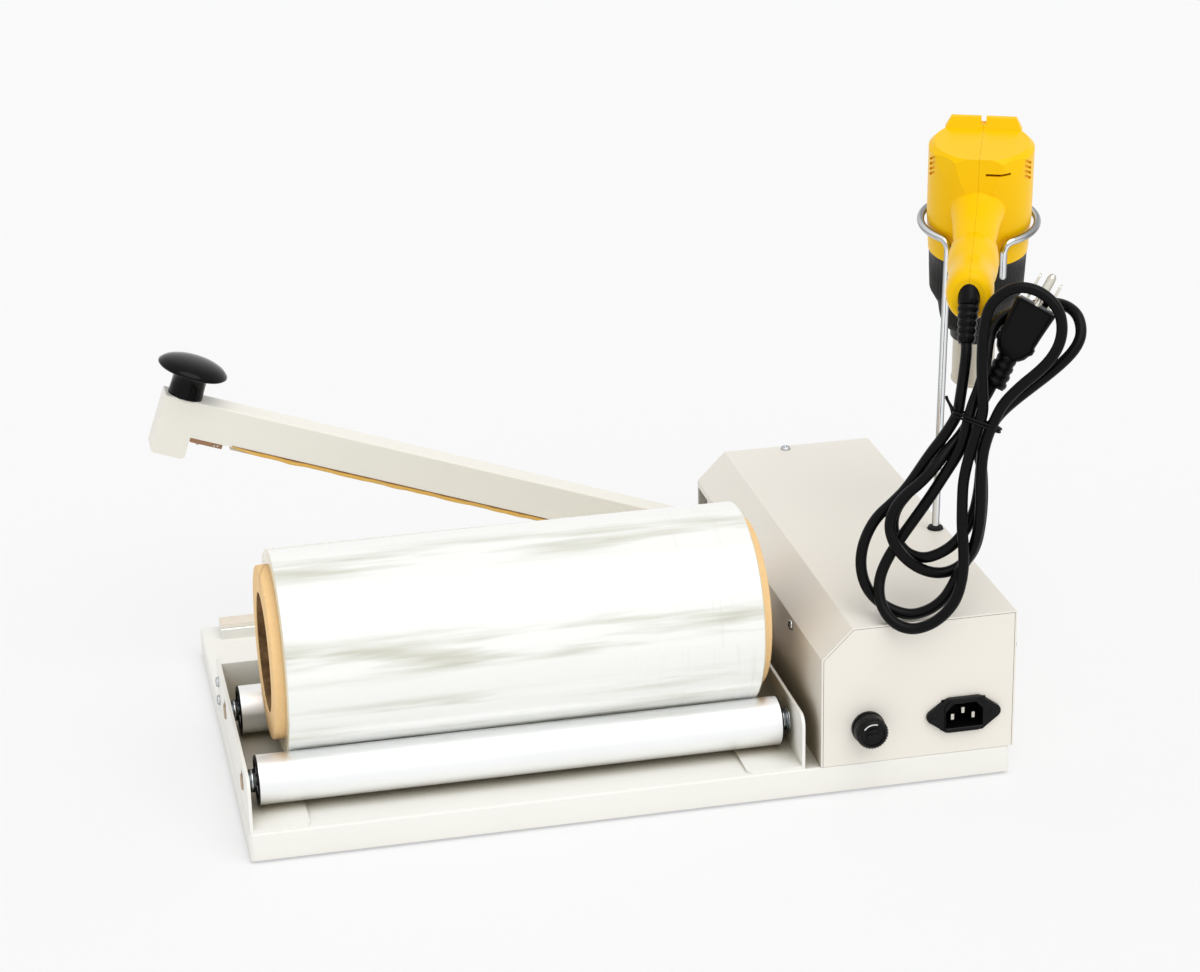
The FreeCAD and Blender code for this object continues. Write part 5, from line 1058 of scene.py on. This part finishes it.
class SEALER_OT_arm(Operator):
    """Make the arm's mushroom knob, the loose tape under its bar and the rivets of its clamp"""
    bl_idname = "sealer.arm"
    bl_label = "Arm details"

    def execute(self, context):
        arm = context.scene.sealer_arm
        stem, cap, tall = arm.knob_stem * 500, arm.knob_width * 500, arm.knob_height * 1000
        profile = [(0.0, 0.0), (stem, 0.0), (stem, 0.8), (stem - 0.3, 8.0), (stem - 0.2, tall - 13.4),
                   (stem + 1.4, tall - 12.0), (stem + 5.0, tall - 11.0), (cap - 4.0, tall - 10.2),
                   (cap - 1.0, tall - 9.3), (cap, tall - 8.2), (cap - 0.1, tall - 7.2),
                   (cap - 1.2, tall - 6.0), (cap * 0.86, tall - 4.1), (cap * 0.7, tall - 2.4),
                   (cap * 0.5, tall - 1.1), (cap * 0.28, tall - 0.3), (0.0, tall)]
        mesh = lathe("mushroom_knob", profile, arm_frame @ Matrix.Translation(knob_seat), 128, crease=60.0)
        knob = piece_from("mushroom_knob", mesh, "Black gloss", "sealing_arm")
        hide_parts("arm_knob")
        mesh = self.tape_mesh(arm.tape_sag * 1000, arm.seed)
        tape = piece_from("loose_tape", mesh, "Arm tape", "sealing_arm")
        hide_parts("arm_tape")
        heads = [(-246.6, clamp_face, 31.8), (-244.2, clamp_face, 32.3)]
        seats = seats_mesh("clamp_rivets", heads, [(0.0, -1.0, 0.0)] * 2)
        rivets = grow("clamp_rivets", seats, cross_head(), {
            "Head radius": 1.0, "Head height": 0.5, "Recess length": 0.5, "Recess depth": 0.6}, "Bare steel")
        rivets.transform(arm_frame)
        riveted = piece_from("clamp_rivets", rivets, "Bare steel", "sealing_arm")
        return {"FINISHED"}

    def tape_mesh(self, sag, seed):
        """A strip folded up round the bar, whose belly and folds wander a little, with its own map."""
        chance = random.Random(seed)
        left, right, low, high, thick = -234.9, 115.3, 30.95, 35.2, 0.22
        waves = [(chance.uniform(14.0, 70.0), chance.uniform(0.0, math.tau), chance.uniform(0.4, 1.0))
                 for _ in range(5)]
        build = bmesh.new()
        stations, total = 150, sum(wave[2] for wave in waves)
        inner_rows, outer_rows, places = [], [], []
        for step in range(stations + 1):
            x = left + (right - left) * step / stations
            swell = sum(size * (0.5 + 0.5 * math.sin(math.tau * x / length + phase))
                        for length, phase, size in waves)
            taper = min(1.0, (x - left) / 16.0)
            belly = high - 1.3 - (high - 1.3 - low - sag * swell / total) * taper
            half = 10.75 - 1.2 * min(1.0, max(0.0, (x - 92.0) / 12.0))
            section = [(-half, high), (-half, belly + 1.0), (-half + 0.35, belly + 0.3), (-half + 1.1, belly),
                       (-half * 0.5, belly + 0.05), (0.0, belly + 0.1), (half * 0.5, belly + 0.05),
                       (half - 1.1, belly), (half - 0.35, belly + 0.3), (half, belly + 1.0), (half, high)]
            outer_rows.append([build.verts.new((x, arm_line + y, z)) for y, z in section])
            shrink = (half - thick) / half
            lifts = [0.0] + [thick] * (len(section) - 2) + [0.0]
            inner_rows.append([build.verts.new((x, arm_line + y * shrink, z + lift))
                               for (y, z), lift in zip(section, lifts)])
            places.append(x)
        layer = build.loops.layers.uv.new("strip")
        count = len(outer_rows[0])
        across = {}
        for x, outer, inner in zip(places, outer_rows, inner_rows):
            for index in range(count):
                for vert in (outer[index], inner[index]):
                    across[vert] = (x / 1000, index / (count - 1))
        loops = [outer + inner[::-1] for outer, inner in zip(outer_rows, inner_rows)]
        bridge(build, loops, False)
        for loop in (loops[0], loops[-1]):
            for index in range(count - 1):
                build.faces.new((loop[index], loop[index + 1], loop[-2 - index], loop[-1 - index]))
        for face in build.faces:
            for corner in face.loops:
                corner[layer].uv = across[corner.vert]
        return finished("loose_tape", build, arm_frame, 50.0)


class SEALER_OT_hardware(Operator):
    """Make the screws, the axles and their ends, the rings on the roller ends and the return spring"""
    bl_idname = "sealer.hardware"
    bl_label = "Screws and springs"

    def execute(self, context):
        sizes = context.scene.sealer_hardware
        cradle = [((x, 22.7, z), (way, 0.0, 0.0)) for x, way in zip(outer_plate_faces, (-1.0, 1.0))
                  for z in (27.9, 41.22)]
        cover = [((120.8, -91.5, 90.58), (-1.0, 0.0, 0.0)), ((251.0, -155.3, 90.58), (1.0, 0.0, 0.0)),
                 ((251.0, 156.5, 90.58), (1.0, 0.0, 0.0)), ((185.9, 156.5, 116.5), (0.0, 0.0, 1.0))]
        inlet = [((x, -165.5, 48.0), (0.0, -1.0, 0.0)) for x in (196.0, 236.0)]
        head = {"Head radius": sizes.screw_radius * 1000, "Head height": sizes.screw_height * 1000}
        small_head = {"Head radius": 2.5, "Head height": 0.7}
        for name, seats, values, finish, slot in (
                ("panel_screws", cradle + cover, head, "Zinc plate", "zinc"),
                ("inlet_screws", inlet, small_head, "Black plastic", "black_plastic")):
            mesh = grow(name, seats_mesh(name, *zip(*seats)), cross_head(), values, finish)
            mesh.transform(metres)
            piece = piece_from(name, mesh, finish, "base")
            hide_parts("body_screws")
        self.axles()
        self.rings()
        self.spring()
        return {"FINISHED"}

    def axles(self):
        """Two axles between the side plates, threaded at their ends, with washers, nuts and end discs whose
        tan colour is painted shade.
        """
        ends = [((x, y, axle_height), (way, 0.0, 0.0)) for x, way in zip(inner_plate_faces, (1.0, -1.0))
                for y in axle_lines.values()]
        nuts = grow("axle_ends", seats_mesh("axle_ends", *zip(*ends)), axle_end(), {}, "Zinc plate")
        nuts.transform(metres)
        crest, root, pitch, threads, length = 3.95, 3.3, 1.25, 8, 358.0
        profile = [(0.0, 0.0), (3.4, 0.0)]
        for turn in range(threads):
            profile += [(crest, 0.5 + turn * pitch), (root, 1.1 + turn * pitch)]
        profile += [(crest, 12.0), (crest, 346.0)]
        for turn in range(threads):
            profile += [(root, 347.0 + turn * pitch), (crest, 347.6 + turn * pitch)]
        profile += [(3.4, length), (0.0, length)]
        bars = [lathe("axle", profile, frame_at((outer_plate_faces[0], y, axle_height), ("Y", 90.0)), 32)
                for y in axle_lines.values()]
        piece = piece_from("threaded_axles", joined("threaded_axles", [nuts, *bars]), "Zinc plate", "base")
        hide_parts("roller_axles")
        # End discs in the tan finish: painted shade where the slot round each axle end lies in shade
        disc = [(0.0, 0.0), (5.3, 0.0), (5.3, 0.5), (4.9, 0.9), (0.0, 0.9)]
        tips = [lathe("axle_tip", disc, frame_at((x, y, axle_height), ("Y", turn)), 32)
                for x, turn in ((-247.6, -90.0), (110.6, 90.0)) for y in axle_lines.values()]
        piece = piece_from("axle_tips", joined("axle_tips", tips), "Axle end", "base")

    def rings(self):
        """A black ring on each end of both rollers."""
        ring = [(13.2, 0.0), (15.5, 0.0), (16.02, 0.4), (16.02, 1.15), (15.7, 1.2), (13.2, 1.2)]
        for name, y in axle_lines.items():
            rings = [lathe("roller_ring", ring, frame_at((x, y, axle_height), ("Y", turn)), 72)
                     for x, turn in ((-239.1, 90.0), (102.1, -90.0))]
            piece = piece_from(name + "_end_rings", joined(name + "_end_rings", rings), "Black plastic", name)

    def spring(self):
        """The arm's return spring, with a straight tail at each end."""
        start, end = Vector((173.25, arm_line, 64.62)), Vector((236.3, arm_line, 68.1))
        thick, tail = 0.7, 7.0
        stops = (0.0, 2.0, 5.0, tail)
        way = (end - start).normalized()
        turns = grow("spring_turns", seats_mesh("spring_turns", [start + way * tail], [way]), coil(),
                     {"Length": (end - start).length - 2 * tail}, "Spring steel")
        turns.transform(metres)
        tails = [wire("spring_tail", [start + way * stop for stop in stops], thick, metres),
                 wire("spring_tail", [end - way * stop for stop in reversed(stops)], thick, metres)]
        piece = piece_from("coil_spring", joined("coil_spring", [turns, *tails]), "Spring steel", "base")
        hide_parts("return_spring")


class SEALER_OT_fittings(Operator):
    """Make the mains inlet, the fuse knob and the timer's knob and dial"""
    bl_idname = "sealer.fittings"
    bl_label = "Panel fittings"

    def execute(self, context):
        inlet = piece_from("mains_inlet", self.inlet(), "Black plastic", "base")
        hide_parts("inlet_body")
        self.fuse()
        self.timer()
        return {"FINISHED"}

    def fuse(self):
        """A ribbed cap with a raised bar across its face, and a thin white arc near its rim that is a painted
        highlight.
        """
        seat = frame_at((151.8, -165.1, 46.0), ("X", 90.0))
        profile = [(0.0, 0.0), (10.5, 0.0), (10.6, 0.6), (10.2, 6.0), (9.7, 9.6), (9.2, 10.4), (8.2, 10.8),
                   (7.4, 10.7), (7.1, 9.9), (4.6, 9.8), (4.3, 10.6), (0.0, 10.7)]
        seats = seats_mesh("fuse_ribs", [(0.0, 0.0, 1.2)], [(0.0, 0.0, 1.0)])
        ribs = grow("fuse_ribs", seats, finger_ribs(), {
            "Ribs": 32, "Radius": 10.0, "Rib radius": 0.45, "Height": 8.0}, "Black plastic")
        ribs.transform(seat)
        bar = loft("fuse_slot", rounded_loops([(10.2, 3.4, 0.9), (11.2, 3.4, 0.9)], 0.4), seat)
        mesh = joined("fuse_knob", [lathe("fuse_knob", profile, seat, 96), ribs, bar])
        fuse = piece_from("fuse_knob", mesh, "Black plastic", "fuse_cap")
        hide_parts("fuse_cap")
        # Painted highlight: a thin white arc near the top of the cap's face
        sweep = [math.radians(angle) for angle in range(70, 146, 3)]
        edges = [[(radius * math.cos(angle), radius * math.sin(angle), level)
                  for radius, angles in ((7.9, sweep), (7.2, sweep[::-1])) for angle in angles]
                 for level in (10.7, 10.95)]
        arc = piece_from("fuse_mark", loft("fuse_mark", edges, seat), "Dial paint", "fuse_cap")

    def inlet(self):
        """A moulded flange that narrows to a lug on each side, a raised frame and a deep recess."""
        lugs = [(-20.2, 0.0, 4.8), (20.2, 0.0, 4.8)]
        flange = lugs + four_corners(13.0, 12.2, 3.4)
        rim = [(-11.9, -9.9, 1.6), (11.9, -9.9, 1.6), (11.9, 6.4, 1.6), (8.4, 9.9, 1.6), (-8.4, 9.9, 1.6),
               (-11.9, 6.4, 1.6)]
        mouth = [(-11.6, -7.6, 0.9), (11.6, -7.6, 0.9), (11.6, 3.0, 0.9), (7.2, 7.6, 0.9), (-7.2, 7.6, 0.9),
                 (-11.6, 3.0, 0.9)]
        body = four_corners(14.7, 10.7, 1.5)

        def grown(circles, more):
            return [(x, y, radius + more) for x, y, radius in circles]

        steps = [(body, -19.2), (body, 0.0), (flange, 0.0), (flange, 2.4), (grown(flange, -0.5), 3.0),
                 (rim, 3.0), (grown(rim, -0.4), 3.9), (grown(mouth, 0.5), 3.9), (mouth, 3.4), (mouth, -17.0)]
        loops = [hull_loop(circles, level, 96) for circles, level in steps]
        return loft("mains_inlet", loops, frame_at((216.0, -162.5, 48.0), ("X", 90.0)))

    def timer(self):
        """A fluted knob with a pointer, and a ring of strokes on the panel, every fifth one longer."""
        seat = frame_at((221.0, 162.8, 82.5), ("X", -90.0))
        profile = [(0.0, 0.0), (12.0, 0.0), (12.0, 2.2), (10.6, 3.6), (9.6, 13.6), (8.8, 14.6), (7.6, 15.0),
                   (0.0, 15.0)]
        seats = seats_mesh("timer_ribs", [(0.0, 0.0, 3.4)], [(0.0, 0.0, 1.0)])
        flutes = grow("timer_ribs", seats, finger_ribs(), {
            "Ribs": 18, "Radius": 9.7, "Rib radius": 0.7, "Height": 10.0}, "Black plastic")
        flutes.transform(seat)
        mesh = joined("timer_dial_knob", [lathe("timer_knob_turned", profile, seat, 72), flutes])
        knob = piece_from("timer_dial_knob", mesh, "Black plastic", "timer_knob")
        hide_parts("timer_knob")
        pointer = loft("timer_pointer", rounded_loops([(14.6, 0.8, 4.2), (15.4, 0.8, 4.2)], 0.5),
                       seat @ Matrix.Translation((0.0, 4.6, 0.0)))
        mark = piece_from("timer_mark", pointer, "Dial paint", "timer_knob")
        strokes = []
        for index in range(11):
            angle = math.radians(-150.0 + 30.0 * index)
            tall = 2.2 if index % 5 == 0 else 1.4
            stand = seat @ Matrix.Translation((0.0, 0.0, -0.3)) @ Matrix.Rotation(angle, 4, "Z")
            strokes.append(loft("stroke", rounded_loops([(0.0, 0.3, tall), (0.12, 0.3, tall)], 0.2, 24),
                                stand @ Matrix.Translation((0.0, 16.5, 0.0))))
        scale = piece_from("timer_scale", joined("timer_scale", strokes), "Black plastic", "base")


class SEALER_OT_gun(Operator):
    """Make the gun's ribbed cord boot and its finely ribbed nozzle guard"""
    bl_idname = "sealer.gun"
    bl_label = "Heat gun details"

    def execute(self, context):
        sizes = context.scene.sealer_gun
        boot_frame = gun_frame @ Matrix.Translation((0.0, -125.0, 4.0)) @ Matrix.Rotation(
            math.radians(90.0 + sizes.boot_fall), 4, "X")
        seats = seats_mesh("boot_ribs", [(0.0, 0.0, 4.0)], [(0.0, 0.0, 1.0)])
        sleeve = grow("boot_ribs", seats, ribbed_sleeve(), {
            "Ribs": 5, "Pitch": 4.8, "Tip radius": 4.9, "Root radius": 6.2, "Rib height": 0.85,
            "Length": 25.1}, "Cord rubber")
        sleeve.transform(boot_frame)
        profile = [(0.0, -8.0), (6.9, -8.0), (7.0, 1.0), (6.8, 3.4), (6.0, 4.6), (0.0, 4.8)]
        root = lathe("boot_root", profile, boot_frame, 64, crease=60.0)
        piece = piece_from("cord_boot", joined("cord_boot", [sleeve, root]), "Cord rubber", "heat_gun")
        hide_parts("gun_strain_relief")
        guard = piece_from("nozzle_guard", self.guard(sizes.guard_ribs), "Guard plastic", "heat_gun")
        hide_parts("gun_shroud")
        return {"FINISHED"}

    def guard(self, ribs):
        """The guard's wall, fine-ribbed outside, with a smooth collar at its top."""
        top, low, wall, groove = -19.5, -77.0, 2.2, 0.55
        outside = [(32.8, top), (32.8, -22.0), (32.3, -36.0), (31.7, -48.6), (31.2, -50.2), (26.5, -58.8),
                   (25.7, -60.6), (24.4, -69.0), (23.6, -72.6), (22.6, -75.4), (21.0, low)]
        neck = [(16.5, low), (16.5, -86.0), (14.5, -86.0), (14.5, low + wall)]
        inside = [(20.6, low + wall), (24.0 - wall, -72.0), (26.4 - wall, -60.5), (32.0 - wall, -50.5),
                  (32.8 - wall, top)]
        build = bmesh.new()
        rings = []
        steps = ribs * 4
        for step in range(steps):
            angle = math.tau * step / steps
            depth = 0.0 if step % 4 < 2 else groove
            ring = []
            for index, (radius, height) in enumerate(outside + neck + inside):
                reach = radius - depth if 1 < index < len(outside) - 1 else radius
                ring.append(build.verts.new((reach * math.cos(angle), reach * math.sin(angle), height)))
            rings.append(ring)
        bridge(build, rings, True)
        return finished("nozzle_guard", build, gun_frame, 30.0)


class SEALER_OT_studio(Operator):
    """Set up the pale floor, the even light, the camera and the white surroundings"""
    bl_idname = "sealer.studio"
    bl_label = "Studio"

    def execute(self, context):
        studio = context.scene.sealer_studio
        material, graph, shader, here = start_material("Studio floor")
        tint = mottled(graph, here, tuple(studio.floor), 1.5, 0.01)
        graph.put(tint["Colour"], shader.inputs["Base Color"])
        shader.inputs["Roughness"].default_value = 0.9
        shader.inputs["Specular IOR Level"].default_value = 0.1
        glow = graph.add("ShaderNodeEmission", {"Color": paint(246, 246, 247), "Strength": 1.0})
        seen = graph.times(graph.add("ShaderNodeLightPath").outputs["Is Camera Ray"], 0.55)
        shown = graph.add("ShaderNodeMixShader", {0: seen, 1: shader.outputs[0], 2: glow.outputs[0]})
        output = next(node for node in graph.tree.nodes if node.bl_idname == "ShaderNodeOutputMaterial")
        graph.put(shown.outputs[0], output.inputs["Surface"])
        build = bmesh.new()
        bmesh.ops.create_grid(build, x_segments=1, y_segments=1, size=14.0)
        mesh = bpy.data.meshes.new("studio_floor")
        build.to_mesh(mesh)
        build.free()
        floor = bpy.data.objects.new("studio_floor", mesh)
        context.scene.collection.objects.link(floor)
        mesh.materials.append(material)

        world = bpy.data.worlds.new("Studio light")
        world.use_nodes = True
        world.node_tree.nodes.clear()
        sky = Graph(world.node_tree)
        path = sky.add("ShaderNodeLightPath").outputs
        mirrored = sky.math("MAXIMUM", path["Is Glossy Ray"], path["Is Transmission Ray"])
        seen = sky.math("MAXIMUM", path["Is Camera Ray"], mirrored)
        even = sky.add("ShaderNodeBackground", {"Color": (1.0, 1.0, 1.0), "Strength": studio.ambient})
        beyond = sky.blend(path["Is Camera Ray"], paint(255, 255, 255), paint(250, 250, 250))
        white = sky.add("ShaderNodeBackground", {"Color": beyond, "Strength": 1.0})
        mixed = sky.add("ShaderNodeMixShader", {0: seen, 1: even.outputs[0], 2: white.outputs[0]})
        sky.add("ShaderNodeOutputWorld", {"Surface": mixed.outputs[0]})
        context.scene.world = world

        lamp = bpy.data.lights.new("Large lamp", "SUN")
        lamp.energy = studio.key
        lamp.angle = math.radians(55)
        holder = bpy.data.objects.new("Large lamp", lamp)
        holder.matrix_world = Vector((0.2, -0.55, 1.0)).to_track_quat("Z", "Y").to_matrix().to_4x4()
        context.scene.collection.objects.link(holder)

        camera = bpy.data.cameras.new("Photo camera")
        camera.sensor_width = 36.0
        camera.lens = 91.24
        camera.clip_end = 60.0
        turn, fall, tilt = (math.radians(angle) for angle in (11.892, 21.556, -1.226))
        ahead = Vector((math.sin(turn) * math.cos(fall), math.cos(turn) * math.cos(fall), -math.sin(fall)))
        level = Vector((math.cos(turn), -math.sin(turn), 0.0))
        above = level.cross(ahead)
        side = level * math.cos(tilt) + above * math.sin(tilt)
        upward = above * math.cos(tilt) - level * math.sin(tilt)
        viewer = bpy.data.objects.new("Photo camera", camera)
        pose = Matrix((side, upward, -ahead)).transposed().to_4x4()
        pose.translation = Vector((-0.3767, -1.8523, 0.9127))
        viewer.matrix_world = pose
        context.scene.collection.objects.link(viewer)
        context.scene.camera = viewer
        context.scene.view_settings.view_transform = "Standard"
        return {"FINISHED"}


class SEALER_PT_panel(Panel):
    """The sealer's sizes, colours and steps"""
    bl_idname = "SEALER_PT_panel"
    bl_label = "I-bar sealer"
    bl_space_type = "VIEW_3D"
    bl_region_type = "UI"
    bl_category = "Sealer"

    def draw(self, context):
        scene = context.scene
        for group in settings_groups:
            settings = getattr(scene, group)
            column = self.layout.column()
            for name in settings.bl_rna.properties.keys():
                if name not in ("rna_type", "name"):
                    column.prop(settings, name)
        for operator in operators:
            self.layout.operator(operator.bl_idname)


settings_groups = {
    "sealer_colours": SEALER_PG_colours,
    "sealer_film": SEALER_PG_film,
    "sealer_lead": SEALER_PG_lead,
    "sealer_arm": SEALER_PG_arm,
    "sealer_hardware": SEALER_PG_hardware,
    "sealer_gun": SEALER_PG_gun,
    "sealer_studio": SEALER_PG_studio,
}
operators = [SEALER_OT_finishes, SEALER_OT_film_roll, SEALER_OT_arm, SEALER_OT_hardware, SEALER_OT_fittings,
             SEALER_OT_gun, SEALER_OT_lead, SEALER_OT_studio]


def register():
    for cls in [*settings_groups.values(), *operators, SEALER_PT_panel]:
        bpy.utils.register_class(cls)
    for name, group in settings_groups.items():
        setattr(bpy.types.Scene, name, PointerProperty(type=group))


def unregister():
    for name in settings_groups:
        delattr(bpy.types.Scene, name)
    for cls in [SEALER_PT_panel, *reversed(operators), *settings_groups.values()]:
        bpy.utils.unregister_class(cls)


def main():
    register()
    for operator in operators:
        group, name = operator.bl_idname.split(".")
        getattr(getattr(bpy.ops, group), name)()


if __name__ == "__main__":
    main()
